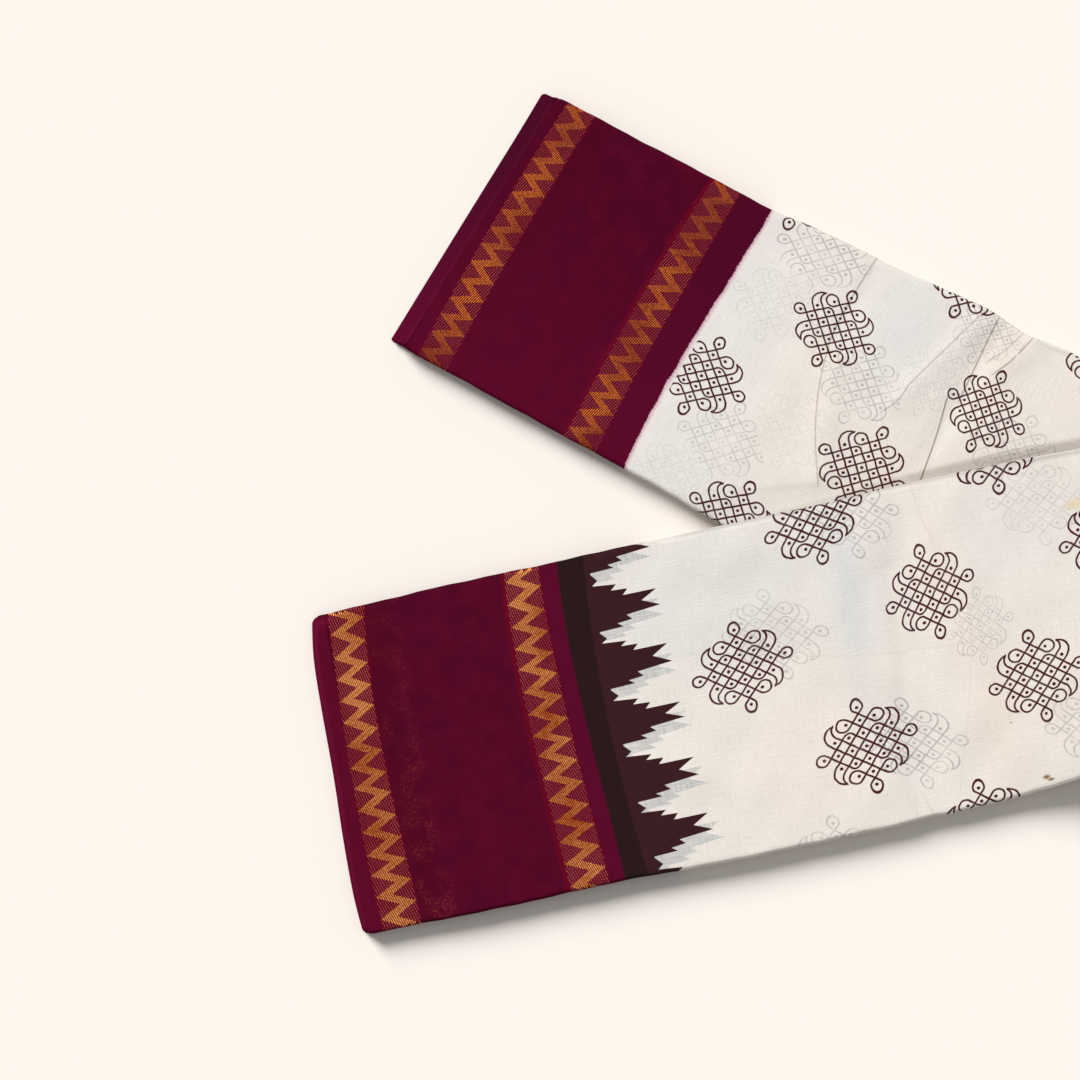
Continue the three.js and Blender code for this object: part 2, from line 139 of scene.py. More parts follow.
# Pressed creases, finer than the mesh: the line, and how deep the tuck is from 0 to 1, on the side
# that its sign gives
UNDER_ARM["creases"] = [
    ([(273, 112), (271, 85), (270.5, 52), (275, 27), (283, 2), (295, -24), (311, -50)], 0.42),
    ([(358, 110), (346, 73), (337, 45), (334.5, 29), (328, 16)], 0.34),
    ([(328, 14), (340, 0), (359, -24)], 0.16),
    ([(371, 114), (371.6, 94), (372.8, 70), (373.4, 50)], 0.6),
    ([(365.5, 45), (371, 19), (375.5, -12)], 0.75),
    ([(399, 112), (393.6, 93), (387, 79)], 0.5),
    ([(391, 112), (386, 97), (379, 84)], 0.3),
    ([(405, 117), (400, 103), (395, 96)], -0.5),
    ([(128, 52), (122, 10), (117, -24), (106, -70)], 0.1),
    ([(118, 84), (117, 70)], 0.15),
    ([(160, 112), (168, 96), (161, 74)], 0.15),
]
OVER_ARM["creases"] = [
    ([(443, 118), (446, 91), (450, 74)], 0.14),
    ([(457, 63.6), (471, 61.3)], 0.15),
    ([(400, -104), (398, -114), (398, -123)], -0.3),
    ([(404, -104), (411, -123)], 0.2),
    ([(470, 32), (459, -14), (447, -59), (432, -107)], 0.06),
    ([(262, 31), (290, 24), (383, 3.6), (460, -4)], -0.05),
    ([(560, 60), (566, 20)], 0.15),
    # the last line, beside the leaf's start at the free end, is painted shadow of the leaf's edge, drawn as a
    # crease
    ([(12.6, 112), (11.4, 85), (10.0, 45), (9.2, 5), (8.6, -35)], 0.7),
]

# Tones of the white cloth: middle along and across, reach both ways, how much cooler (or with a minus
# warmer) and how much darker it is there
UNDER_ARM["tones"] = [
    ((205, 0), (45, 140), 0.6, 0.0), ((312, 75), (40, 55), 0.85, 0.0), ((240, -95), (60, 30), 0.4, 0.01),
    ((400, -20), (60, 60), -0.6, 0.0), ((385, 90), (18, 30), -0.7, 0.02), ((450, 90), (50, 40), -0.3, 0.0),
    ((280, 0), (25, 60), -0.3, 0.0),
]
# the narrow entries at 385, 378 and 401 along are painted shade of the grey-blue band by the trough, cooler
# and darker
OVER_ARM["tones"] = [
    ((262, 60), (60, 75), 0.6, 0.025), ((340, 85), (80, 70), 0.4, 0.02), ((385, 55), (15, 60), 0.9, 0.045),
    ((378, -15), (12, 45), 1.1, 0.035), ((401, -66), (11, 42), 1.0, 0.03), ((500, 70), (60, 40), 0.3, 0.01),
    ((450, 50), (17, 55), -0.8, 0.03), ((468, -60), (24, 62), -0.9, 0.02), ((560, -60), (70, 70), -0.6, 0.0),
    ((330, -60), (60, 60), -0.6, 0.0), ((350, -18), (40, 30), 0.1, -0.02), ((525, 20), (40, 40), 0.1, -0.01),
]


# Shape of the folded strip

def smooth_curve(x, y, at):
    """A smooth curve through points, by cubic pieces with shared slopes."""
    x, y = np.array(x, float), np.array(y, float)
    place = np.clip(at, x[0], x[-1])
    row = np.clip(np.searchsorted(x, place) - 1, 0, len(x) - 2)
    before, after = np.maximum(np.arange(len(x)) - 1, 0), np.minimum(np.arange(len(x)) + 1, len(x) - 1)
    slope = (y[after] - y[before]) / (x[after] - x[before])
    span = x[row + 1] - x[row]
    t = (place - x[row]) / span
    ends = (1 + 2 * t) * (1 - t) ** 2 * y[row] + t * t * (3 - 2 * t) * y[row + 1]
    return ends + span * (t * (1 - t) ** 2 * slope[row] - t * t * (1 - t) * slope[row + 1])


def column(arm, name, along):
    rows = list(zip(*arm["outline"]))
    return smooth_curve(rows[0], rows[OUTLINE_COLUMNS.index(name)], along)


def half_width(arm, along, side):
    return np.where(side > 0, column(arm, "rear", along), column(arm, "front", along))


def smoothstep(value, low, high):
    t = np.clip((value - low) / (high - low), 0, 1)
    return t * t * (3 - 2 * t)


def direction(degrees):
    return np.array([math.cos(math.radians(degrees)), math.sin(math.radians(degrees))])


def corner_cut(arm, from_end, side):
    radius = np.where(side > 0, arm["corners"][1], arm["corners"][0])
    reach = np.clip(radius - from_end, 0, radius)
    return radius - np.sqrt(radius ** 2 - reach ** 2)


def edge_wave(arm, along, side):
    """The long edges run a little unevenly, fold by fold."""
    shift = np.where(side > 0, 1.3, 4.1) + (2.0 if arm is OVER_ARM else 0.0)
    return 0.16 * np.sin(along / 8.3 + shift) + 0.12 * np.sin(along / 3.9 + 2 * shift)


def end_bow(arm, share, along):
    """How far the free end bows out at a share of the half width, fading out along the arm."""
    return smooth_curve(*zip(*arm["end_line"]), share) * (1 - smoothstep(along, 0, END_BOW_LENGTH))


def strip_place(arm, along, share, inset, end):
    """Distance onward and across an arm, from a station and a share across it, -1 front to 1 rear."""
    half = half_width(arm, along, share)
    across = share * (half - inset - corner_cut(arm, along - end, share))
    across = across + share * np.abs(share) ** 7 * edge_wave(arm, along, share)
    shift = across / half * column(arm, "lean", along) - end_bow(arm, across / half, along)
    return along + shift, across


def to_world(arm, onward, across):
    forward, sideways = direction(arm["heading"]), direction(arm["heading"] + 90)
    return TURN_MIDDLE + (onward - arm["length"])[..., None] * forward + across[..., None] * sideways


def from_world(arm, place):
    offset = place - TURN_MIDDLE
    onward = arm["length"] + offset @ direction(arm["heading"])
    return onward, offset @ direction(arm["heading"] + 90)


def line_distance(line, onward, across):
    """Distance to a line with its sign, minus on its left, and how far past its ends a place is."""
    nearest = np.full(np.shape(onward), np.inf)
    side, beyond = np.zeros(np.shape(onward)), np.zeros(np.shape(onward))
    for number, (start, stop) in enumerate(zip(line, line[1:])):
        run = np.subtract(stop, start)
        length = math.hypot(*run)
        dx, dy = onward - start[0], across - start[1]
        share = (dx * run[0] + dy * run[1]) / length ** 2
        kept = np.clip(share, 0, 1)
        distance = np.hypot(dx - kept * run[0], dy - kept * run[1])
        closer = distance < nearest
        nearest = np.where(closer, distance, nearest)
        side = np.where(closer, (dx * run[1] - dy * run[0]) / length, side)
        past = np.maximum(-share if number == 0 else 0, (share - 1) if number == len(line) - 2 else 0)
        beyond = np.where(closer, np.maximum(past, 0) * length, beyond)
    return nearest, side, beyond


def fold_height(fold, onward, across):
    line, rise, spread = fold
    return rise * np.exp(-(line_distance(line, onward, across)[0] / spread) ** 2)


def ripple(onward, across, seed, height=0.13, count=14):
    """The loose unevenness of cloth laid by hand: a few long waves that cross at random."""
    draw = np.random.default_rng(seed)
    total = np.zeros(np.shape(onward))
    for length, heading, phase in zip(draw.uniform(28, 95, count), draw.uniform(0, math.tau, count),
                                      draw.uniform(0, math.tau, count)):
        total += np.sin(math.tau * (onward * math.cos(heading) + across * math.sin(heading)) / length + phase)
    return height * total / math.sqrt(count)


def clear_of_over_arm(place):
    onward, across = from_world(OVER_ARM, place)
    return smoothstep(across - column(OVER_ARM, "rear", onward), *CALM_AT_OVER_ARM)


def thickness(arm, place):
    onward, across = from_world(arm, place)
    calm = smoothstep(-(place - TURN_MIDDLE) @ direction(TURN_HEADING - 90), *CALM_AT_TURN)
    if arm is UNDER_ARM:
        calm = calm * clear_of_over_arm(place)
    relief = sum(fold_height(fold, onward, across) for fold in arm["folds"])
    relief = relief + ripple(onward, across, 3 if arm is UNDER_ARM else 8)
    return PACKET + calm * (relief + column(arm, "rise", onward))


def underside(arm, place):
    if arm is UNDER_ARM:
        return np.zeros(place.shape[:-1])
    onward, across = from_world(UNDER_ARM, place)
    outside = -across - column(UNDER_ARM, "front", onward)
    return OVER_BASE * (1 - smoothstep(outside, RAMP_START, RAMP_START + RAMP))


def skin(arm, along, share, curl, depth, end):
    """Places on the packet's outside, a depth below it, rounding over its long edges, and the same
    spread flat on the cloth, along and across."""
    bend = EDGE_RADIUS - depth
    inset = EDGE_RADIUS - bend * np.cos(curl)
    onward, across = strip_place(arm, along, share, inset, end)
    place = to_world(arm, onward, across)
    height = underside(arm, place) + thickness(arm, place) - EDGE_RADIUS + bend * np.sin(curl)
    round_the_edge = np.sign(share) * EDGE_RADIUS * (math.pi / 2 - curl - np.cos(curl))
    spread = np.stack([onward, across + round_the_edge], axis=-1)
    return np.concatenate([place, height[..., None]], axis=-1), spread


def turn_place(along_fold, radius, angle):
    """Places round the turn: a distance along the fold line, a radius and an angle, 90 degrees on top."""
    place = TURN_MIDDLE + along_fold[..., None] * direction(TURN_HEADING)
    place = place + (GAP / 2 + radius * np.cos(angle))[..., None] * direction(TURN_HEADING - 90)
    return np.concatenate([place, (TURN_RADIUS + radius * np.sin(angle))[..., None]], axis=-1)


# Where a place on the strip lies in the cloth

def cloth_lines_at(arm, across):
    share = np.clip(across / CLOTH_LINE_REACH, -1.05, 1.05)
    distances, places = zip(*arm["cloth_lines"])
    return distances, [np.polyval(np.polyfit(ACROSS_SHARES, row, 3), share) for row in places]


def through_knots(knots, values, at):
    """Straight pieces from knot to knot, carried on at full scale past both ends."""
    total = values[0] + np.minimum(at - knots[0], 0) + np.maximum(at - knots[-1], 0)
    for near, far, low, high in zip(knots, knots[1:], values, values[1:]):
        total = total + (high - low) * np.clip((at - near) / (far - near), 0, 1)
    return total


def from_selvedge(arm, onward, across):
    """Distance from the selvedge, stretched so that the woven bands lie as they do on the cloth."""
    distances, lines = cloth_lines_at(arm, across)
    return through_knots(lines, distances, onward)


def onward_at(arm, distance, across):
    """The reverse: where along the arm a distance from the selvedge lies."""
    return through_knots(*cloth_lines_at(arm, across), distance)


def beaten(across):
    """The weft is beaten in unevenly, so a repeat across the strip is never quite the same length."""
    return across + 0.55 * np.sin(across / 10.5 + 0.7) + 0.3 * np.sin(across / 4.7 + 2.0)


# Printed motifs on each arm, and the paler ones that show through from the layer below: middle
# along and across, one dot step along the strip and one across it, each as it lies on the cloth,
# and how much of the ink shows
UNDER_ARM["prints"] = [
    ((201.4, -21.8), (9.93, -0.18), (0.16, 8.57), 1.0), ((270.1, 52.9), (9.42, -0.43), (0.15, 8.37), 1.0),
    ((334.1, -26.3), (9.56, 0.25), (0.54, 9.25), 1.0), ((394.4, 51.4), (8.75, -0.02), (-0.62, 8.61), 1.0),
    ((269.8, -104.2), (10.03, -0.8), (0.04, 8.78), 1.0), ((205.9, 131.1), (9.79, -0.19), (0.15, 8.55), 1.0),
    ((342.3, 132.6), (9.63, -0.19), (0.5, 9.06), 1.0), ((453.6, 125.5), (9.79, -0.19), (0.09, 8.68), 1.0),
    ((400, -92), (9.8, 0.0), (0.1, 8.7), 1.0), ((462, -22), (9.8, 0.0), (0.1, 8.7), 1.0),
    ((528, 55), (9.8, 0.0), (0.1, 8.7), 1.0), ((535, -90), (9.8, 0.0), (0.1, 8.7), 1.0),
]
UNDER_ARM["ghosts"] = [
    ((238.8, 96.9), (10.13, 1.26), (0.22, 8.43), 0.8), ((237.4, -56.6), (9.83, 1.05), (-0.2, 8.69), 0.62),
    ((306.5, 26.4), (9.72, 0.1), (0.12, 8.54), 0.8), ((367.5, 103.5), (8.05, 0.19), (-0.04, 7.31), 0.72),
    ((426.5, 33.7), (9.85, 0.33), (0.12, 8.54), 0.65), ((225.4, 50.3), (9.81, 0.71), (0.12, 8.54), 0.28),
    ((351.2, 55.8), (7.58, -0.47), (0.12, 8.54), 0.3), ((217.0, -96.8), (9.81, 0.71), (0.06, 8.66), 0.25),
    ((279.0, -24.8), (9.66, 0.23), (0.12, 8.54), 0.18), ((480, 100), (9.8, 0.5), (0.1, 8.6), 0.5),
]
OVER_ARM["prints"] = [
    ((298.0, 13.5), (10.62, 1.17), (-0.11, 9.1), 1.0), ((372.9, -61.2), (10.75, 1.42), (-0.39, 9.52), 1.0),
    ((440.5, 37.5), (9.38, 1.78), (-0.36, 9.51), 1.0), ((502.6, -38.1), (10.2, 0.95), (-0.14, 9.21), 1.0),
    ((370.3, 106.8), (10.52, 2.15), (-0.21, 9.13), 1.0), ((445.8, -137.1), (10.45, 1.21), (-0.24, 9.5), 1.0),
    ((506.2, 129.3), (10.6, 0.57), (0.35, 9.47), 1.0), ((574.6, 50.5), (10.44, 1.04), (0.01, 9.25), 1.0),
    ((583, -112), (10.5, 1.1), (-0.1, 9.3), 1.0), ((642, -28), (10.5, 1.1), (-0.1, 9.3), 1.0),
    ((645, 120), (10.5, 1.1), (-0.1, 9.3), 1.0),
]
OVER_ARM["ghosts"] = [
    ((325.8, 31.8), (10.6, -1.6), (-0.81, 9.35), 0.62), ((394.1, 105.7), (10.65, -1.65), (-0.86, 9.3), 0.75),
    ((406.8, -66.8), (10.7, -1.7), (-1.04, 9.48), 0.9), ((470.2, 5.6), (7.05, 0.63), (0.82, 7.6), 0.6),
    ((337.4, -139.0), (10.63, -1.27), (-0.1, 9.46), 0.7), ((529.9, 85.6), (10.38, -1.22), (0.04, 9.39), 0.42),
    ((537.3, -85.0), (10.63, -2.38), (-0.56, 9.38), 0.7), ((605, 5), (10.6, -1.5), (-0.5, 9.4), 0.6),
]


def steps_from_nearest(spread, faces, prints):
    """Each face takes the motif nearest to its middle, and its corners their offset from it in dot
    steps; also how much of its ink shows there."""
    middles = spread[faces].mean(axis=1)
    centres, along, across, ink = (np.array(part, float) for part in zip(*prints))
    nearest = np.linalg.norm(middles[:, None] - centres[None], axis=-1).argmin(axis=1)
    offset = spread[faces] - centres[nearest][:, None]
    along, across = along[nearest][:, None], across[nearest][:, None]
    area = along[..., 0] * across[..., 1] - along[..., 1] * across[..., 0]
    steps = np.stack([offset[..., 0] * across[..., 1] - offset[..., 1] * across[..., 0],
                      along[..., 0] * offset[..., 1] - along[..., 1] * offset[..., 0]], axis=-1)
    return (steps / area[..., None]).reshape(-1, 2), np.repeat(ink[nearest], faces.shape[1])


def softened(line):
    """The same line, bent smoothly through its places."""
    at = np.linspace(0, len(line) - 1, 5 * len(line) - 4)
    return list(zip(*(smooth_curve(range(len(line)), values, at) for values in zip(*line))))


def crease_offsets(arm, spread, faces):
    """Each face takes the crease nearest to its middle, and its corners their distance from that and
    its depth there."""
    middles = spread[faces].mean(axis=1)
    lines = [softened(line) for line, depth in arm["creases"]]
    chosen = np.argmin([line_distance(line, *middles.T)[0] for line in lines], axis=0)
    result = np.zeros((len(faces), 4, 2))
    for number, (line, (_, depth)) in enumerate(zip(lines, arm["creases"])):
        mine = chosen == number
        corners = spread[faces[mine]]
        _, side, beyond = line_distance(line, corners[..., 0], corners[..., 1])
        result[mine] = np.stack([side * MM, depth * (1 - smoothstep(beyond, -0.1, 5))], axis=-1)
    return result.reshape(-1, 2)


def tone_at(arm, spread):
    along, across = spread[:, 0], spread[:, 1]
    total = np.zeros(spread.shape)
    for middle, reach, cool, dark in arm["tones"]:
        near = np.exp(-(((spread - middle) / reach) ** 2).sum(axis=-1) * 1.4)
        total += near[:, None] * [cool, dark]
    # painted shade on the rounded rear fold edges, against the light they catch
    painted_edge_shade = smoothstep(across - column(arm, "rear", along), -3.4, -0.9)
    place = to_world(arm, along, across)
    if arm is UNDER_ARM:
        # painted warm shade beside the over arm's rear edge, where that arm comes down on it
        onward, aside = from_world(OVER_ARM, place)
        past = smoothstep(onward, 330, 520)
        away = (aside - column(OVER_ARM, "rear", onward)) / (2.5 + 6.5 * past)
        shade = (0.08 + 0.3 * past) * (1 - smoothstep(away, 0.6, 1.15)) * (onward > 300)
        return total + shade[:, None] * [-1.2, 1] + painted_edge_shade[:, None] * [0, 0.2]
    # painted light where it climbs onto the under arm, against the shade of that slope
    onward, aside = from_world(UNDER_ARM, place)
    climb = np.clip((-aside - column(UNDER_ARM, "front", onward) - RAMP_START) / RAMP, 0, 1)
    return total + (climb * (1 - climb))[:, None] * [0, -0.66] + painted_edge_shade[:, None] * [0, 0.46]


def cloth_uvs(arm, spread, faces, ink_share=1.0):
    across = beaten(spread[:, 1])
    bands = np.stack([from_selvedge(arm, spread[:, 0], spread[:, 1]), across], axis=-1)
    prints, print_ink = steps_from_nearest(spread, faces, arm["prints"])
    ghosts, ghost_ink = steps_from_nearest(spread, faces, arm["ghosts"])
    return [
        ("Cloth", bands * MM),
        ("Place", spread * MM),
        ("Print", prints),
        ("Ghost", ghosts),
        ("Ink", ink_share * np.stack([print_ink, ghost_ink], axis=-1)),
        ("Crease", crease_offsets(arm, spread, faces)),
        ("Tone", tone_at(arm, spread)),
    ]


# Meshes

def grid_faces(rows, columns):
    index = np.arange(rows * columns).reshape(rows, columns)
    quads = np.stack([index[:-1, :-1], index[1:, :-1], index[1:, 1:], index[:-1, 1:]], axis=-1).reshape(-1, 4)
    loop = np.concatenate([index[:, 0], index[-1, 1:-1], index[::-1, -1], index[0, 1:-1][::-1]])
    return quads, loop


def place_in_scene(name, data):
    piece = bpy.data.objects.new(name, data)
    bpy.context.scene.collection.objects.link(piece)
    return piece


def mesh_object(name, points, faces, material, rims=0, uvs=()):
    """An object at the origin from places in millimetres; the last faces, its rims, stay crisp."""
    mesh = bpy.data.meshes.new(name)
    mesh.from_pydata((points * MM).tolist(), [], faces.tolist())
    mesh.shade_smooth()
    for polygon in mesh.polygons[len(faces) - rims:] if rims else ():
        polygon.use_smooth = False
    for uv_name, values in uvs:
        layer = mesh.uv_layers.new(name=uv_name)
        corners = values if len(values) == faces.size else values[faces.reshape(-1)]
        layer.data.foreach_set("uv", corners.reshape(-1).astype(np.float32))
    mesh.materials.append(material)
    return place_in_scene(name, mesh)


def skin_columns(curl_steps=5):
    """Shares across the strip with their curl, from the front edge's side over to the rear edge's."""
    flat = np.linspace(-1, 1, int(2 * HALF_WIDTH / LEAF_MESH) + 1)
    curls = np.linspace(0, math.pi / 2, curl_steps + 1)[:-1]
    share = np.concatenate([np.full(curl_steps, -1.0), flat, np.full(curl_steps, 1.0)])
    curl = np.concatenate([curls, np.full(len(flat), math.pi / 2), curls[::-1]])
    return share, curl


def leaf(name, arm, material, round_turn):
    """The leaf that shows on an arm, as a thin shell, with the over arm's carried round the turn."""
    share, curl = skin_columns()
    start = arm["leaf_start"] + arm["leaf_slant"] * share
    corner = start[None] + np.array([0, 0.15, 0.5, 1.1, 2.0, 3.2, 4.6, 6.4])[:, None]
    stations = int((arm["length"] - FIRST_STATION) / LEAF_MESH) + 1
    rest = np.linspace(FIRST_STATION, arm["length"], stations)
    blend = np.linspace(0, 1, 8)[1:-1, None]
    bridge = corner[-1][None] * (1 - blend) + rest[0] * blend
    along = np.concatenate([corner, bridge, np.repeat(rest[:, None], len(share), axis=1)])
    end = np.where(along < FIRST_STATION - 0.1, start[None], UNCUT_END)
    shares, curls = np.broadcast_to(share, along.shape), np.broadcast_to(curl, along.shape)
    sides = []
    for depth in (0.0, CLOTH):
        places, spread = skin(arm, along, shares, curls, depth, end)
        if round_turn:
            slope = math.cos(math.radians(TURN_HEADING - 90 - arm["heading"]))
            angles = np.linspace(math.pi / 2, -math.pi / 2, 29)[1:, None]
            bend = EDGE_RADIUS - depth
            half = column(arm, "rear", arm["length"])
            along_fold = share * (half - EDGE_RADIUS + bend * np.cos(curl)) / slope
            radius = TURN_RADIUS - EDGE_RADIUS + bend * np.sin(curl)
            shape = (len(angles), len(share))
            places = np.concatenate([places, turn_place(*(np.broadcast_to(value, shape) for value in
                                                          (along_fold, radius, angles)))])
            away = direction(TURN_HEADING - 90 - arm["heading"])
            run = TURN_RADIUS * (math.pi / 2 - angles)[..., None] * away
            spread = np.concatenate([spread, spread[-1][None] + run])
        sides.append((places, spread))
    rows, columns = sides[0][0].shape[:2]
    quads, loop = grid_faces(rows, columns)
    after = np.roll(loop, -1)
    below = rows * columns
    rim = np.stack([after, loop, loop + below, after + below], axis=-1)
    faces = np.concatenate([quads, quads[:, ::-1] + below, rim])
    points, spread = (np.concatenate([side[part].reshape(-1, part_size) for side in sides])
                      for part, part_size in ((0, 3), (1, 2)))
    return mesh_object(name, points, faces, material, len(rim), cloth_uvs(arm, spread, faces))


def packet_rings(arm, seed):
    """Rings of the stacked folds from the underside up: height, set-back and waviness of each."""
    draw = np.random.default_rng(seed)
    top = PACKET - EDGE_RADIUS - 0.6
    heights = draw.uniform(0.8, 1.2, LAYERED_FOLDS - 2)
    heights *= top / heights.sum()
    rings, floor = [], 0.0
    ends = np.linspace(0, arm["packet_ends"] - 1.2, len(heights)) + draw.uniform(-0.6, 0.6, len(heights))
    for number, height in enumerate(heights):
        inset = draw.uniform(0.0, 0.8, 2)
        wave = draw.uniform(0, math.tau, 2)
        for flank, tuck in ((0.04, 0.9), (0.3, 0.15), (0.5, 0.0), (0.72, 0.15), (0.96, 0.9)):
            if number == 0 and flank == 0.04:
                flank = 0.0
            rings.append({"height": floor + flank * height, "inset": inset, "tuck": tuck, "wave": wave,
                          "end": max(0.0, ends[number])})
        floor += height
    return rings


def packet(name, arm, material, seed):
    """The folds below the leaf: a closed stack with layered sides and staggered selvedges."""
    turn_end = arm["length"] - GAP / 2
    shares = np.linspace(-1, 1, int(2 * HALF_WIDTH / PACKET_MESH) + 1)
    corner = np.array([0, 0.2, 0.7, 1.5, 2.6, 4.0, 6.0, 9.0, 13.0])
    stations = int((turn_end - FIRST_STATION) / PACKET_MESH) + 1
    common = np.linspace(FIRST_STATION, turn_end, stations)

    def grid_of(end):
        along = np.concatenate([end + corner, common])
        shape = (len(along), len(shares))
        return np.broadcast_to(along[:, None], shape), np.broadcast_to(shares, shape)

    def ring_grid(ring):
        along, share = grid_of(ring["end"] + 0.7 * ring["tuck"])
        wander = 0.35 * np.sin(along / 37 + ring["wave"][0]) + 0.2 * np.sin(along / 13.7 + ring["wave"][1])
        inset = np.where(share > 0, ring["inset"][0], ring["inset"][1]) + ring["tuck"] + 0.6 + wander
        onward, across = strip_place(arm, along, share, inset, ring["end"])
        place = to_world(arm, onward, across)
        height = underside(arm, place) + ring["height"] * thickness(arm, place) / PACKET
        return np.concatenate([place, height[..., None]], axis=-1), np.stack([onward, across], axis=-1)

    def top_grid(curl):
        along, share = grid_of(arm["packet_ends"] + 1.5 * (1 - math.cos(curl)))
        rim = np.abs(share) == 1
        rim[0] = True
        end = arm["leaf_start"] + arm["leaf_slant"] * share + 4
        return skin(arm, along, share, np.where(rim, curl, math.pi / 2), 1.3, end)

    grids = [ring_grid(ring) for ring in packet_rings(arm, seed)]
    grids += [top_grid(curl) for curl in (0.0, 0.5, 1.0, math.pi / 2)]
    rows, columns = grids[0][0].shape[:2]
    quads, loop = grid_faces(rows, columns)
    points, spreads, faces, previous, count = [], [], [], None, 0
    for number, (places, spread) in enumerate(grids):
        whole = number in (0, len(grids) - 1)
        keep = np.arange(rows * columns) if whole else loop
        ring = count + (loop if whole else np.arange(len(loop)))
        if whole:
            faces.append((quads[:, ::-1] if number == 0 else quads) + count)
        points.append(places.reshape(-1, 3)[keep])
        spreads.append(spread.reshape(-1, 2)[keep])
        count += len(keep)
        if previous is not None:
            faces.append(np.stack([previous, np.roll(previous, -1), np.roll(ring, -1), ring], axis=-1))
        previous = ring
    faces = np.concatenate(faces)
    return mesh_object(name, np.concatenate(points), faces, material, 0,
                       cloth_uvs(arm, np.concatenate(spreads), faces, 0.0))


def turn_packet(name, material):
    """Nested rounds inside the turn, whose folded edges show at both ends of the fold line."""
    draw = np.random.default_rng(21)
    slant = math.cos(math.radians(TURN_HEADING - 90 - OVER_ARM["heading"]))
    half = column(OVER_ARM, "rear", OVER_ARM["length"]) / slant
    profile = [(3.3, 1.3), (2.1, 1.9), (1.6, 3.0)]
    depth = 3.4
    while depth < TURN_RADIUS - 1:
        height = draw.uniform(0.65, 1.0)
        inset = draw.uniform(0.3, 1.4)
        profile += [(inset + 0.9, depth), (inset + 0.1, depth + 0.3 * height), (inset, depth + 0.6 * height)]
        depth += height
    profile.append((1.6, TURN_RADIUS - 0.01))
    inset, depth = np.array(profile).T
    along_fold = np.concatenate([(half - inset)[::-1], inset - half])
    radius = TURN_RADIUS - np.concatenate([depth[::-1], depth])
    angles = np.linspace(-math.pi / 2, math.pi / 2, 28)
    shape = (len(radius), len(angles))
    places = turn_place(*(np.broadcast_to(value, shape) for value in
                          (along_fold[:, None], radius[:, None], angles)))
    index = np.arange(places[..., 0].size).reshape(shape)
    rounds = np.stack([index[:-1, :-1], index[:-1, 1:], index[1:, 1:], index[1:, :-1]], axis=-1).reshape(-1, 4)
    flat = np.stack([index[:-1, -1], index[:-1, 0], index[1:, 0], index[1:, -1]], axis=-1)
    ends = [np.stack([row[:13], row[:14:-1], row[:13:-1][:-1], row[1:14]], axis=-1)
            for row in (index[0], index[-1][::-1])]
    faces = np.concatenate([rounds, flat, *ends])
    spread = np.stack([OVER_ARM["length"] + TURN_RADIUS * (math.pi / 2 - np.broadcast_to(angles, shape)),
                       np.broadcast_to(along_fold[:, None], shape)], axis=-1).reshape(-1, 2)
    return mesh_object(name, places.reshape(-1, 3), faces, material, 0,
                       cloth_uvs(OVER_ARM, spread, faces, 0.0))


# Materials

def colour(code):
    """An sRGB hex value as linear red, green, blue and alpha."""
    channels = [int(code[place:place + 2], 16) / 255 for place in (1, 3, 5)]
    linear = [c / 12.92 if c <= 0.04045 else ((c + 0.055) / 1.055) ** 2.4 for c in channels]
    return (*linear, 1.0)


def start_material(name, **finish):
    """A new material with its finish set, its node tree, and its surface."""
    material = bpy.data.materials.new(name)
    material.use_nodes = True
    shader = material.node_tree.nodes["Principled BSDF"]
    for socket, value in finish.items():
        shader.inputs[socket.replace("_", " ")].default_value = value
    return material, material.node_tree, shader


def node_adder(tree):
    def add(kind, *inputs, sockets=None, out=0, **settings):
        """Adds a node; a kind in capitals is an operation of the Math node."""
        is_math = kind.isupper()
        node = tree.nodes.new("ShaderNodeMath" if is_math else "ShaderNode" + kind)
        if is_math:
            node.operation = kind
        for key, value in settings.items():
            setattr(node, key, value)
        wanted = dict(enumerate(inputs))
        wanted.update(sockets or {})
        for key, value in wanted.items():
            if isinstance(value, bpy.types.NodeSocket):
                tree.links.new(value, node.inputs[key])
            elif value is not None:
                node.inputs[key].default_value = value
        return node.outputs[out]
    return add


# The kolam: a dot-and-line floor figure on a diamond of dots, mirrored about both its middles.
# Places are in dot steps from its middle, a along the strip and b across it.
KOLAM_STEP = 9.8            # millimetres, on average
PRINT_LINE, GHOST_LINE = 1.45, 1.05
KOLAM_DOT = 2.5
FAR = 30.0
# Round stretches of line: centre, radius, flattening of the round, and two edges beyond which the
# arc is drawn, each as a direction and how far along it the arc starts
KOLAM_ARCS = [
    ((1.0, 0.9), 0.424, 1.0, (1, 1, 1.88), (-1, 1, -0.12)),
    ((1.174, 2.0), 0.476, 1.0, (1, 0, 0.8), (1, 0, 0.0)),
    ((3.094, 0.0), 0.42, 1.0, (1, 0, 2.77), (1, 0, 0.0)),
    ((0.0, 3.06), 0.39, 0.7, (0, 1, 2.84), (0, 1, 0.0)),
    ((1.79, 1.43), 0.80, 1.0, (1, 1, 3.16), (1, 0, 1.81)),
    ((1.45, 1.80), 0.60, 1.0, (1, 0, 1.82), (1, 0, 0.0)),
]


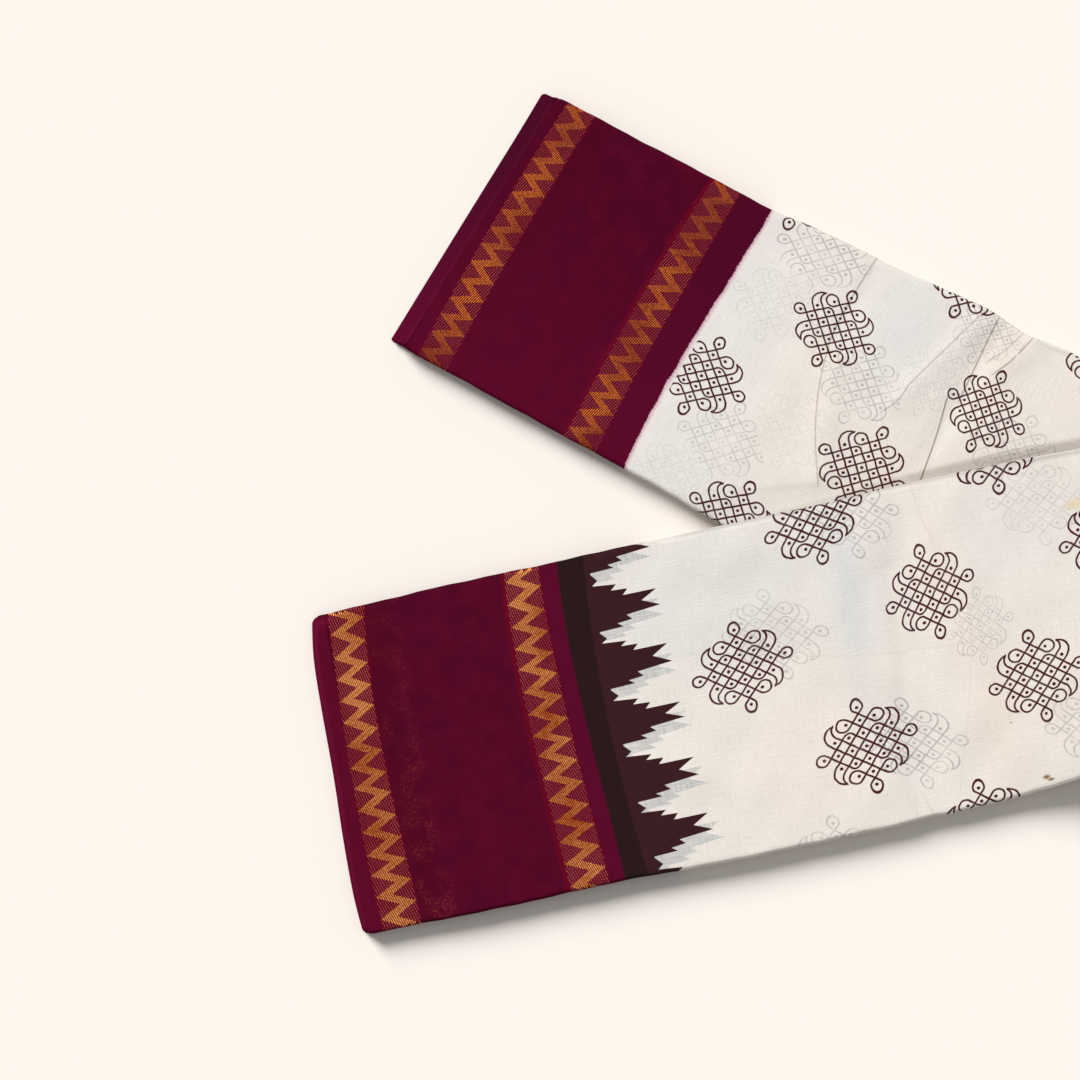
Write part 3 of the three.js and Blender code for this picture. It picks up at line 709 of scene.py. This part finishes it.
def kolam_group():
    tree = bpy.data.node_groups.new("kolam_figure", "ShaderNodeTree")
    tree.interface.new_socket("Offset", in_out="INPUT", socket_type="NodeSocketVector")
    tree.interface.new_socket("Line", in_out="INPUT", socket_type="NodeSocketFloat")
    tree.interface.new_socket("Ink", in_out="OUTPUT", socket_type="NodeSocketFloat")
    add = node_adder(tree)
    offset, line_width = tree.nodes.new("NodeGroupInput").outputs[:2]
    split = add("SeparateXYZ", offset).node
    a, b = add("ABSOLUTE", split.outputs[0]), add("ABSOLUTE", split.outputs[1])
    place = add("CombineXYZ", a, b)
    u, v = add("SUBTRACT", a, b), add("ADD", a, b)

    # straight lines one way, stopped where each bends away
    line = add("ADD", add("ROUND", add("SUBTRACT", u, 0.5)), 0.5)
    line = add("MAXIMUM", add("MINIMUM", line, 2.5), -2.5)
    stop = add("MULTIPLY_ADD", add("COMPARE", u, -0.5, 0.5), -1.3, 3.2)
    stop = add("MULTIPLY_ADD", add("GREATER_THAN", u, 2.0), -0.14, stop)
    past = add("MAXIMUM", add("SUBTRACT", v, stop), 0.0)
    across_u = add("MULTIPLY", add("ABSOLUTE", add("SUBTRACT", u, line)), math.sqrt(0.5))
    nearest = add("MULTIPLY_ADD", past, FAR, across_u)

    # straight lines the other way, with the outermost open beside the oval
    line = add("MINIMUM", add("ADD", add("ROUND", add("SUBTRACT", v, 0.5)), 0.5), 2.5)
    opening = add("MULTIPLY", add("COMPARE", u, -0.365, 0.465), add("GREATER_THAN", v, 2.0))
    across_v = add("MULTIPLY", add("ABSOLUTE", add("SUBTRACT", v, line)), math.sqrt(0.5))
    nearest = add("MINIMUM", nearest, add("MULTIPLY_ADD", opening, FAR, across_v))

    for centre, radius, flat, *edges in KOLAM_ARCS:
        round_place = add("VectorMath", place, (1.0, flat, 1.0), operation="MULTIPLY")
        distance = add("VectorMath", round_place, (centre[0], centre[1] * flat, 0.0), out=1,
                       operation="DISTANCE")
        distance = add("ABSOLUTE", add("SUBTRACT", distance, radius))
        for toward_a, toward_b, start in edges:
            reach = add("VectorMath", place, (toward_a, toward_b, 0.0), out=1, operation="DOT_PRODUCT")
            short = add("MAXIMUM", add("SUBTRACT", start, reach), 0.0)
            distance = add("MULTIPLY_ADD", short, FAR, distance)
        nearest = add("MINIMUM", nearest, distance)
    soft = 0.28 / KOLAM_STEP
    inner = add("MULTIPLY_ADD", line_width, 0.5 / KOLAM_STEP, -soft)
    line_ink = add("MapRange", nearest, add("ADD", inner, 2 * soft), inner, 0.0, 1.0,
                   interpolation_type="SMOOTHSTEP")

    # a dot in each cell of the diamond
    dot_a, dot_b = add("ROUND", a), add("ROUND", b)
    from_dot = add("VectorMath", place, add("CombineXYZ", dot_a, dot_b), out=1, operation="DISTANCE")
    outside = add("GREATER_THAN", add("ADD", dot_a, dot_b), 3.5)
    from_dot = add("ADD", from_dot, outside)
    dot = KOLAM_DOT / 2 / KOLAM_STEP
    dot_ink = add("MapRange", from_dot, dot + soft, dot - soft, 0.0, 1.0, interpolation_type="SMOOTHSTEP")
    result = tree.nodes.new("NodeGroupOutput")
    tree.links.new(add("MAXIMUM", line_ink, dot_ink), result.inputs[0])
    return tree


# One tooth of the temple band, in millimetres: distance across the strip, and how far the dark
# reaches into the white there
TOOTH_WIDTH = 41.7
TOOTH_REACH = 48.0
TOOTH = [
    (0.0, 0.0), (4.9, 4.6), (7.8, 0.0), (9.6, 18.0), (13.0, 13.4), (13.8, 25.9), (17.9, 21.5), (18.1, 47.2),
    (24.6, 34.6), (30.5, 47.9), (32.6, 21.7), (36.3, 25.4), (37.3, 14.1), (40.3, 18.3), (40.7, 0.0),
]

# The woven gold bands: distance from the selvedge, width, repeat of the zigzag across the strip and
# the place of one of its tips
UNDER_ARM["bands"] = [(19.9, 22.8, 14.46, 103.6), (139.5, 24.0, 14.63, 105.6)]
OVER_ARM["bands"] = [(13.7, 26.2, 15.94, 99.9), (147.0, 27.9, 15.93, 109.6)]
# Dyes of the border: its ground and the patches in it, the zone along the selvedge and where that
# ends, and the zone between the inner band and the white
# On the under arm the selvedge zone is darker, as painted shade against the light that the free end faces.
UNDER_ARM["dyes"] = {"ground": "#480321", "patches": "#4C031E", "selvedge": "#36021A", "selvedge_ends": 11.5,
                     "inner_edge": "#4A0522"}
OVER_ARM["dyes"] = {"ground": "#4D0523", "patches": "#510520", "selvedge": "#590626", "selvedge_ends": 13.7,
                    "inner_edge": "#570728"}
# A faint yellow stain and four specks on the over arm: middle along and across, reach both ways,
# strength and colour
SPOTS = [
    ((555, 76), (9, 5), 0.5, "#D9C489"), ((494.0, -110.8), (3.2, 2.0), 0.9, "#7A5A34"),
    ((497.0, -113.2), (3.0, 1.3), 0.9, "#7A5A34"), ((477, -67), (0.8, 0.8), 0.8, "#6B5A4A"),
    ((288, 15), (0.5, 0.9), 0.8, "#6B5A4A"),
]
# The temple band of the layer below, and then the band itself: how far it lies further along, its
# drift along for each step across, how far it lies further across, strength and colour
TOOTH_ROWS = [(3.2, -0.035, -7.4, 0.8, "#B4B6B5"), (0.0, 0.0, 0.0, 1.0, "#371C20")]
TOOTH_TIP = 101.4           # place of one tooth's start across the strip
STROKE_SHARE = 0.44         # of a band's width, the thickness of the zigzag along the strip
GOLD_HATCH, DASH_HATCH = 1.4, 1.75      # spacing of the gold floats, and of the dashes beside them
FLOAT_TILT = math.tan(math.radians(16))


def saree_cloth(name, arm, kolam):
    """Handloom cotton in plain weave, pressed flat: matt, with the slubs of hand-spun thread. Its
    border is dyed maroon, the temple band dark, and a kolam is block printed on the white."""
    material, tree, shader = start_material(name, Roughness=0.9, Specular_IOR_Level=0.04)
    add = node_adder(tree)
    is_over = arm is OVER_ARM

    def between(value, low, high, soft):
        """One between two values, with a soft edge, in millimetres."""
        rise = add("MapRange", value, (low - soft) * MM, (low + soft) * MM, 0.0, 1.0)
        return add("MULTIPLY", rise, add("MapRange", value, (high - soft) * MM, (high + soft) * MM, 1.0, 0.0))

    place = add("UVMap", uv_map="Place")
    (along, across), (selvedge, weft), (cool, dark), (crease, tuck), (print_ink, ghost_ink) = (
        add("SeparateXYZ", add("UVMap", uv_map=uv_name)).node.outputs[:2]
        for uv_name in ("Place", "Cloth", "Tone", "Crease", "Ink"))

    # threads: slubs both ways, and thick and thin places, drawn coarse enough to show
    slubs = []
    for stretch in ((70.0, 1300.0, 1.0), (1300.0, 70.0, 1.0)):
        mapped = add("Mapping", sockets={"Vector": place, "Scale": stretch})
        slubs.append(add("TexNoise", sockets={"Vector": mapped, "Scale": 1.0, "Detail": 2.0}))
    threads = add("ADD", slubs[0], slubs[1])
    wide = add("TexNoise", sockets={"Vector": place, "Scale": 14.0, "Detail": 2.0})
    patchy = add("TexNoise", sockets={"Vector": place, "Scale": 60.0, "Detail": 4.0})
    fine = add("TexNoise", sockets={"Vector": place, "Scale": 330.0, "Detail": 3.0})

    # white field: unbleached white, cooler where more layers back it, creamier elsewhere; the cool coat also
    # carries painted shade by the over arm's trough, and the warm coat the painted warm shade beside the over
    # arm;
    # its coats of colour are laid one over the other, each with its mask
    field = [(add("MapRange", wide, 0.35, 0.65, 0.0, 1.0), "#E3DDD6"),
             (add("MULTIPLY", cool, -1.0, use_clamp=True), "#E7DBD1")]
    if is_over:
        step = add("MULTIPLY_ADD", along, 0.16, across)
        above = add("MapRange", step, 0.0655, 0.0705, 0.35, 1.0)
        cool = add("MULTIPLY", cool, above)
    field.append((add("MULTIPLY", cool, 0.6, use_clamp=True), "#D6D9DA"))

    # printed motifs, and the paler ones of the layer below
    wobble = add("TexNoise", sockets={"Vector": place, "Scale": 190.0, "Detail": 1.0}, out=1)
    wobble = add("VectorMath", wobble, (0.5, 0.5, 0.5), operation="SUBTRACT")
    prints = []
    for uv_name, line_width in (("Print", PRINT_LINE), ("Ghost", GHOST_LINE)):
        offset = add("VectorMath", wobble, (0.11, 0.11, 0.0), add("UVMap", uv_map=uv_name),
                     operation="MULTIPLY_ADD")
        group = tree.nodes.new("ShaderNodeGroup")
        group.node_tree = kolam
        tree.links.new(offset, group.inputs[0])
        group.inputs[1].default_value = line_width
        prints.append(group.outputs[0])
    ghost_ink = add("MULTIPLY", ghost_ink, add("MapRange", patchy, 0.38, 0.64, 1.0, 0.4))
    field.append((add("MULTIPLY", prints[1], ghost_ink), "#A7A3A4"))
    print_ink = add("MULTIPLY", print_ink, add("MapRange", patchy, 0.2, 0.5, 0.9, 1.0))
    ink = add("MULTIPLY", prints[0], print_ink)
    if not is_over:
        # the block was masked off beside the dyed border
        ink = add("MULTIPLY", ink, add("MapRange", selvedge, 189.4 * MM, 190.2 * MM, 0.0, 1.0))
    field.append((ink, "#42161C"))

    distances = [distance for distance, places in arm["cloth_lines"]]
    if is_over:
        for middle, reach, strength, tint in SPOTS:
            offset = add("VectorMath", place, (middle[0] * MM, middle[1] * MM, 0.0), operation="SUBTRACT")
            offset = add("VectorMath", offset, (1 / (reach[0] * MM), 1 / (reach[1] * MM), 0.0),
                         operation="MULTIPLY")
            away = add("VectorMath", offset, out=1, operation="LENGTH")
            field.append((add("MapRange", add("ADD", away, patchy), 0.9, 1.6, strength, 0.0), tint))

        # the temple band, and the same band of the layer below showing through pale grey
        for shift_along, drift, shift_across, strength, tint in TOOTH_ROWS:
            tip = (TOOTH_TIP + shift_across) / TOOTH_WIDTH
            phase = add("MULTIPLY_ADD", weft, -1 / (TOOTH_WIDTH * MM), tip)
            teeth = add("ValToRGB", add("FRACT", add("ADD", phase, 40.0)))
            steps = teeth.node.color_ramp.elements
            while len(steps) < len(TOOTH):
                steps.new(0.5)
            for step, (width, reach) in zip(steps, TOOTH):
                step.position = width / TOOTH_WIDTH
                step.color = (reach / TOOTH_REACH,) * 3 + (1.0,)
            edge = add("MULTIPLY_ADD", teeth, TOOTH_REACH * MM, (distances[7] + shift_along) * MM)
            edge = add("MULTIPLY_ADD", weft, drift, edge)
            inside = add("MapRange", add("SUBTRACT", edge, selvedge), -0.25 * MM, 0.25 * MM, 0.0, strength)
            if strength < 1.0:
                inside = add("MULTIPLY", inside, add("MapRange", threads, 0.75, 1.25, 1.25, 0.45))
            field.append((inside, tint))
        band_edge = add("MULTIPLY_ADD", add("SUBTRACT", patchy, 0.5), 1.6 * MM, selvedge)
        field.append((add("MapRange", band_edge, 201.9 * MM, 202.5 * MM, 1.0, 0.0), "#271719"))
    else:
        # the dyed edge was tied off against the white, so it is beaded and has bled a little
        bead = add("SINE", add("MULTIPLY", weft, math.tau / (2.6 * MM)))
        bead = add("MULTIPLY_ADD", bead, 0.14 * MM, selvedge)
        bead = add("MULTIPLY_ADD", add("SUBTRACT", patchy, 0.5), 3.2 * MM, bead)
        selvedge = add("MULTIPLY_ADD", add("SUBTRACT", fine, 0.5), 1.6 * MM, bead)
        bleed = add("MapRange", selvedge, (distances[5] + 0.2) * MM, (distances[5] + 3.2) * MM, 0.8, 0.0)
        field.append((bleed, "#BE86A0"))

    # maroon dye, deeper and lighter in long zones beside the woven bands
    dyes, bands, border_end = arm["dyes"], arm["bands"], distances[5]
    border = [(add("MapRange", wide, 0.35, 0.62, 0.0, 1.0), dyes["patches"]),
              (add("MapRange", patchy, 0.45, 0.75, 0.0, 0.5), "#5E0626"),
              (add("MapRange", patchy, 0.5, 0.3, 0.0, 0.45), "#430322")]
    outer, inner = bands[0][0], bands[1][0]
    after_outer, after_inner = outer + bands[0][1], inner + bands[1][1]
    for low, high, strength, tint in ((-20.0, dyes["selvedge_ends"], 0.8, dyes["selvedge"]),
                                      (outer - 0.6, after_outer + 0.6, 1.0, "#5E041A"),
                                      (after_outer + 0.6, after_outer + 17, 0.5, "#4A041B"),
                                      (inner - 3.4, after_inner + 0.8, 0.9, "#5F051E"),
                                      (after_inner + 1.4, border_end + 2, 0.8, dyes["inner_edge"])):
        border.append((add("MULTIPLY", between(selvedge, low, high, 0.5), strength), tint))
    if is_over:
        # worn traces of gold left beside the outer band, stronger towards the front
        worn = add("MULTIPLY", between(selvedge, 43, 66, 3), add("MapRange", weft, -0.11, 0.13, 1.0, 0.25))
        worn = add("MULTIPLY", worn, add("MapRange", patchy, 0.46, 0.6, 0.0, 1.0))
        mapped = add("Mapping", sockets={"Vector": place, "Rotation": (0, 0, 0.4),
                                         "Scale": (1500.0, 420.0, 1.0)})
        streak = add("TexNoise", sockets={"Vector": mapped, "Scale": 1.0})
        worn = add("MULTIPLY", worn, add("MapRange", streak, 0.55, 0.66, 0.0, 0.6))
        border.append((worn, "#93422C"))
    else:
        # its front part took more dye; beside the selvedge, lines of painted shade where the folds' edges step
        border.append((add("MapRange", weft, 0.06, -0.1, 0.0, 0.5), "#5E0628"))
        lines = add("SINE", add("MULTIPLY", selvedge, math.tau / (3.4 * MM)))
        lines = add("MapRange", lines, 0.4, 1.0, 0.0, 0.35)
        border.append((add("MULTIPLY", lines, between(selvedge, -12, 12.5, 0.4)), "#35021A"))

    # orange ground thread below the gold floats, in the same zigzag
    for start, width, repeat, tip in bands:
        rise = (1 - STROKE_SHARE) * width
        turn = add("FRACT", add("MULTIPLY_ADD", weft, -1 / (repeat * MM), tip / repeat + 40))
        triangle = add("SUBTRACT", 1.0, add("ABSOLUTE", add("MULTIPLY_ADD", turn, 2.0, -1.0)))
        inward = add("MULTIPLY_ADD", triangle, -rise * MM, selvedge)
        stroke = between(inward, start, start + STROKE_SHARE * width, 0.12)
        border.append((add("MULTIPLY", stroke, 0.9), "#6A2012"))

    painted = []
    for ground, coats in (("#E1DAD3", field), (dyes["ground"], border)):
        tone = colour(ground)
        for mask, tint in coats:
            tone = add("Mix", sockets={0: mask, 6: tone, 7: colour(tint)}, out=2, data_type="RGBA")
        painted.append(tone)
    in_border = add("MapRange", selvedge, (border_end - 0.3) * MM, (border_end + 0.3) * MM, 1.0, 0.0)
    base = add("Mix", sockets={0: in_border, 6: painted[0], 7: painted[1]}, out=2, data_type="RGBA")

    # each thread a little lighter or darker than the next; the tones' darkness, mostly painted shade and
    # painted light; and at each crease painted shade in its line and beside it, warmer in the line, with a
    # painted highlight on its raised side
    from_crease, deep = add("ABSOLUTE", crease), add("ABSOLUTE", tuck)
    to_side = add("MULTIPLY", crease, add("SIGN", tuck))
    step_side = add("MapRange", to_side, -0.8 * MM, 0.8 * MM, 0.0, 1.0, interpolation_type="SMOOTHSTEP")
    line = add("MULTIPLY", add("MapRange", from_crease, 0.2 * MM, 0.9 * MM, 0.4, 0.0), deep)
    wide_shade = add("MULTIPLY", add("MapRange", from_crease, 0.5 * MM, 4.0 * MM, 0.06, 0.0), deep)
    painted_ridge_highlight = add("MapRange", to_side, 0.6 * MM, 2.6 * MM, 0.07, 0.0)
    painted_ridge_highlight = add("MULTIPLY", painted_ridge_highlight, add("MULTIPLY", deep, step_side))
    shade = add("ADD", add("MapRange", threads, 0.7, 1.3, 0.94, 1.055), painted_ridge_highlight)
    shade = add("SUBTRACT", shade, add("ADD", dark, add("ADD", line, wide_shade)))
    warmer = add("MULTIPLY_ADD", line, -0.3, shade)
    base = add("VectorMath", base, add("CombineXYZ", shade, add("MULTIPLY_ADD", line, -0.15, shade), warmer),
               operation="MULTIPLY")
    tree.links.new(base, shader.inputs["Base Color"])

    # relief of the threads, and a step at each crease
    height = add("MULTIPLY", add("MULTIPLY", step_side, deep), 0.5 * MM)
    height = add("MULTIPLY_ADD", threads, 0.12 * MM, height)
    bump = add("Bump", sockets={"Strength": 1.0, "Distance": 1.0, "Height": height})
    tree.links.new(bump, shader.inputs["Normal"])
    return material


def thread_finish(name, bright, deep, roughness, metallic, share):
    """Metal-wrapped or dyed thread in long floats: a soft gleam, uneven from float to float and
    duller in worn stretches."""
    material, tree, shader = start_material(name, Roughness=roughness, Metallic=metallic,
                                            Specular_IOR_Level=0.3)
    add = node_adder(tree)
    place = add("TexCoord", out=3)
    worn = add("TexNoise", sockets={"Vector": place, "Scale": 21.0, "Detail": 2.0})
    uneven = add("TexNoise", sockets={"Vector": place, "Scale": 420.0, "Detail": 2.0})
    blend = add("ADD", add("MapRange", worn, 0.35, 0.65, share - 0.5, share + 0.3),
                add("MapRange", uneven, 0.38, 0.62, -0.25, 0.25))
    blend = add("MINIMUM", add("MAXIMUM", blend, 0.0), 1.0)
    mix = add("Mix", sockets={0: blend, 6: colour(deep), 7: colour(bright)}, out=2, data_type="RGBA")
    tree.links.new(mix, shader.inputs["Base Color"])
    return material


# Gold bands

FLOAT_LENGTH, FLOAT_REST = 2.6, 0.3      # a float of gold thread and the thread that binds it
DASH_LENGTH, DASH_PITCH = 1.5, 2.1
SAMPLE = 0.25                            # steps in which a line is cut into floats


def zigzag_lines(arm, band, seed):
    """Hatch lines of a gold band: the floats inside the zigzag, and the short dashes outside it."""
    start, width, repeat, tip = band
    climb, stroke = (1 - STROKE_SHARE) * width, STROKE_SHARE * width
    way = 1 if arm is OVER_ARM else -1
    reach = 125.0
    draw = np.random.default_rng(seed)
    weft = np.arange(-reach, reach, SAMPLE)
    triangle = 1 - np.abs(2 * np.mod((tip - weft) / repeat, 1) - 1)
    kinds = []
    for hatch, long, rest, is_gold in ((GOLD_HATCH, FLOAT_LENGTH, FLOAT_REST, True),
                                       (DASH_HATCH, DASH_LENGTH, DASH_PITCH - DASH_LENGTH, False)):
        lines = []
        for offset_start in np.arange(-reach * FLOAT_TILT, width + reach * FLOAT_TILT, hatch):
            offset = offset_start - way * FLOAT_TILT * weft
            inside = (offset >= 0) & (offset <= width)
            in_stroke = inside & (offset >= climb * triangle) & (offset <= climb * triangle + stroke)
            kept = in_stroke if is_gold else inside & ~in_stroke
            edges = np.flatnonzero(np.diff(np.concatenate([[0], kept.astype(int), [0]])))
            for begin, finish in zip(edges[::2], edges[1::2]):
                place = begin + (0 if is_gold else int(draw.integers(0, 4)))
                while place < finish - 1:
                    stop = min(finish - 1, place + int(long / SAMPLE))
                    if finish - 1 - stop < 3:
                        stop = finish - 1
                    line = np.array([place, stop])
                    lines.append(np.stack([start + offset[line], weft[line]], axis=-1))
                    place = stop + int(round(rest / SAMPLE))
        kinds.append(lines)
    return kinds


def lay_on_leaf(arm, lines, lift):
    """Places of the lines on the arm's leaf and over its rounded long edges, as points and edges."""
    scale = np.linspace(-130, 130, 2601)
    points, edges = [], []
    for line in lines:
        across = np.interp(line[:, 1], beaten(scale), scale)
        onward = onward_at(arm, line[:, 0], across)
        half = half_width(arm, onward, across)
        over_edge = np.abs(across) - (half - EDGE_RADIUS)
        if over_edge.max() > 3.4:
            continue
        curl = math.pi / 2 - np.clip(over_edge, 0, None) / EDGE_RADIUS
        share = np.where(over_edge > 0, np.sign(across), across / (half - EDGE_RADIUS))
        bow = end_bow(arm, across / half, onward + 6)
        along = onward - across / half * column(arm, "lean", onward) + bow
        places, _ = skin(arm, along, share, curl, -lift, np.full(along.shape, UNCUT_END))
        edges += [(len(points) + step, len(points) + step + 1) for step in range(len(line) - 1)]
        points += places.tolist()
    return np.array(points), edges


def thread_tree():
    """Geometry Nodes: sweeps a flattened round along each line and gives it its material."""
    tree = bpy.data.node_groups.new("laid_threads", "GeometryNodeTree")
    interface = tree.interface
    interface.new_socket("Geometry", in_out="OUTPUT", socket_type="NodeSocketGeometry")
    interface.new_socket("Geometry", in_out="INPUT", socket_type="NodeSocketGeometry")
    for name, value in (("Thread width", 0.0009), ("Thread height", 0.0004)):
        interface.new_socket(name, in_out="INPUT", socket_type="NodeSocketFloat").default_value = value
    interface.new_socket("Sides", in_out="INPUT", socket_type="NodeSocketInt").default_value = 6
    interface.new_socket("Finish", in_out="INPUT", socket_type="NodeSocketMaterial")

    def add(kind, links=(), **settings):
        """Adds a node with its settings, fed from the first output of others or a named input."""
        node = tree.nodes.new(kind)
        for key, value in settings.items():
            setattr(node, key, value)
        for socket, source in dict(links).items():
            if isinstance(source, (bpy.types.Node, bpy.types.NodeSocket)):
                tree.links.new(source.outputs[0] if isinstance(source, bpy.types.Node) else source,
                               node.inputs[socket])
            else:
                node.inputs[socket].default_value = source
        return node

    given = add("NodeGroupInput").outputs
    line = add("GeometryNodeMeshToCurve", {"Mesh": given["Geometry"]})
    upright = add("GeometryNodeSetCurveNormal", {"Curve": line}, mode="Z_UP")
    section = add("GeometryNodeCurvePrimitiveCircle", {"Resolution": given["Sides"], "Radius": 0.5})
    size = add("ShaderNodeCombineXYZ", {"X": given["Thread width"], "Y": given["Thread height"], "Z": 1.0})
    flat_section = add("GeometryNodeTransform", {"Geometry": section, "Scale": size})
    sweep = add("GeometryNodeCurveToMesh", {"Curve": upright, "Profile Curve": flat_section,
                                            "Fill Caps": True})
    smooth = add("GeometryNodeSetShadeSmooth", {"Geometry": sweep})
    whole = add("GeometryNodeRealizeInstances", {"Geometry": smooth})
    finish = add("GeometryNodeSetMaterial", {"Geometry": whole, "Material": given["Finish"]})
    add("NodeGroupOutput", {"Geometry": finish})
    return tree


def laid_threads(name, arm, lines, tree, width, height, material):
    points, edges = lay_on_leaf(arm, lines, 0.3 * height)
    guide_mesh = bpy.data.meshes.new(name + "_guide")
    guide_mesh.from_pydata((points * MM).tolist(), edges, [])
    guide = place_in_scene(name + "_guide", guide_mesh)
    modifier = guide.modifiers.new("threads", "NODES")
    modifier.node_group = tree
    inputs = {item.name: item.identifier for item in tree.interface.items_tree if item.in_out == "INPUT"}
    for key, value in (("Thread width", width * MM), ("Thread height", height * MM), ("Sides", 6),
                       ("Finish", material)):
        modifier[inputs[key]] = value
    guide.update_tag()
    evaluated = guide.evaluated_get(bpy.context.evaluated_depsgraph_get())
    mesh = bpy.data.meshes.new_from_object(evaluated)
    mesh.name = name
    piece = place_in_scene(name, mesh)
    bpy.data.objects.remove(guide)
    return piece


# Build

kolam = kolam_group()
under_cloth = saree_cloth("handloom_cotton_under_arm", UNDER_ARM, kolam)
over_cloth = saree_cloth("handloom_cotton_over_arm", OVER_ARM, kolam)
gold_bright = thread_finish("gold_wrapped_thread", "#F09E5C", "#B8581E", 0.5, 0.1, 0.7)
gold_deep = thread_finish("orange_gold_wrapped_thread", "#CE6A1E", "#903006", 0.5, 0.1, 0.42)
pink_thread = thread_finish("pale_maroon_thread", "#AE544C", "#8C2A3A", 0.75, 0.0, 0.45)
dull_thread = thread_finish("dull_maroon_thread", "#923A38", "#761C2A", 0.75, 0.0, 0.45)

leaves = {
    "under_arm": leaf("under_outer_leaf", UNDER_ARM, under_cloth, False),
    "over_arm": leaf("over_outer_leaf", OVER_ARM, over_cloth, True),
    "under_arm_layers": packet("under_fold_stack", UNDER_ARM, under_cloth, 5),
    "over_arm_layers": packet("over_fold_stack", OVER_ARM, over_cloth, 11),
    "turn_layers": turn_packet("turn_fold_stack", over_cloth),
}

threads = thread_tree()
zari = {"under": [], "over": []}
for arm, finishes in ((UNDER_ARM, (gold_deep, dull_thread)), (OVER_ARM, (gold_bright, pink_thread))):
    for number, band in enumerate(arm["bands"]):
        floats, dashes = zigzag_lines(arm, band, 31 + number)
        label = f"{arm['side']}_{'inner' if number else 'outer'}_band"
        zari[arm["side"]] += [
            laid_threads(label + "_gold_floats", arm, floats, threads, 0.88, 0.45, finishes[0]),
            laid_threads(label + "_pink_dashes", arm, dashes, threads, 0.72, 0.3, finishes[1]),
        ]

# What each piece stands for, its finish, its cut across and along the strip in metres with the
# rounded edges, what it lies on, and the threads laid on it
PIECES = [
    ("under_arm", ("under_arm_border", "under_arm_field"), "white_field", (0.236, 0.563),
     ["under_arm_layers"], zari["under"]),
    ("over_arm", ("over_arm_border", "over_arm_temple_band", "over_arm_field", "turn_leaf"), "white_field",
     (0.242, 0.648), ["over_arm_layers"], zari["over"]),
    ("under_arm_layers", ("under_arm_layers",), "layered_cloth", (0.226, 0.576), [], []),
    ("over_arm_layers", ("over_arm_layers",), "layered_cloth", (0.236, 0.618), ["under_outer_leaf"], []),
    ("turn_layers", ("turn_layers",), "layered_cloth", (0.245, 0.030), ["under_arm_layers"], []),
]
for key, nodes, finish_slot, cut, rests_on, on_it in PIECES:
    piece = leaves[key]
    for part in [piece, *on_it]:
        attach(part, "root")
    for part in on_it:
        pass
    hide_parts(*nodes)
    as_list(rests_on)
    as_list(on_it)

# Floor, light and camera
bpy.ops.mesh.primitive_plane_add(size=16.0, location=(0, 0, -0.0004))
floor = bpy.context.object
floor.name = "pale_floor"
card = start_material("matt_cream_card", Base_Color=colour("#F4EDE7"), Roughness=1.0, Specular_IOR_Level=0.0)
floor.data.materials.append(card[0])

# one broad soft light from the upper left, and an even fill
LIGHT_HEIGHT, LIGHT_HEADING = 30.0, 127.0       # degrees
sun_data = bpy.data.lights.new("soft_key", "SUN")
sun_data.energy = 4.88
sun_data.angle = math.radians(28)
sun_data.color = (1.0, 0.985, 0.965)
sun = place_in_scene("soft_key", sun_data)
sun.rotation_euler = (0, math.radians(90 - LIGHT_HEIGHT), math.radians(LIGHT_HEADING))
world = bpy.data.worlds.new("even_fill")
world.use_nodes = True
world.node_tree.nodes["Background"].inputs["Color"].default_value = (1, 0.995, 0.99, 1)
world.node_tree.nodes["Background"].inputs["Strength"].default_value = 0.33
bpy.context.scene.world = world
bpy.context.scene.view_settings.view_transform = "Standard"

# The photograph is taken from straight above, with the turn just outside its right edge
FRAME_WIDTH = 0.7776        # metres of table across the picture
VIEW_CENTRE = (-0.1638, -0.0177)
CAMERA_HEIGHT = 3.0
camera_data = bpy.data.cameras.new("overhead")
camera_data.sensor_fit = "HORIZONTAL"
camera_data.sensor_width = 36.0
camera_data.lens = camera_data.sensor_width * (CAMERA_HEIGHT - PACKET * MM) / FRAME_WIDTH
camera = place_in_scene("overhead", camera_data)
camera.location = (*VIEW_CENTRE, CAMERA_HEIGHT)
bpy.context.scene.camera = camera
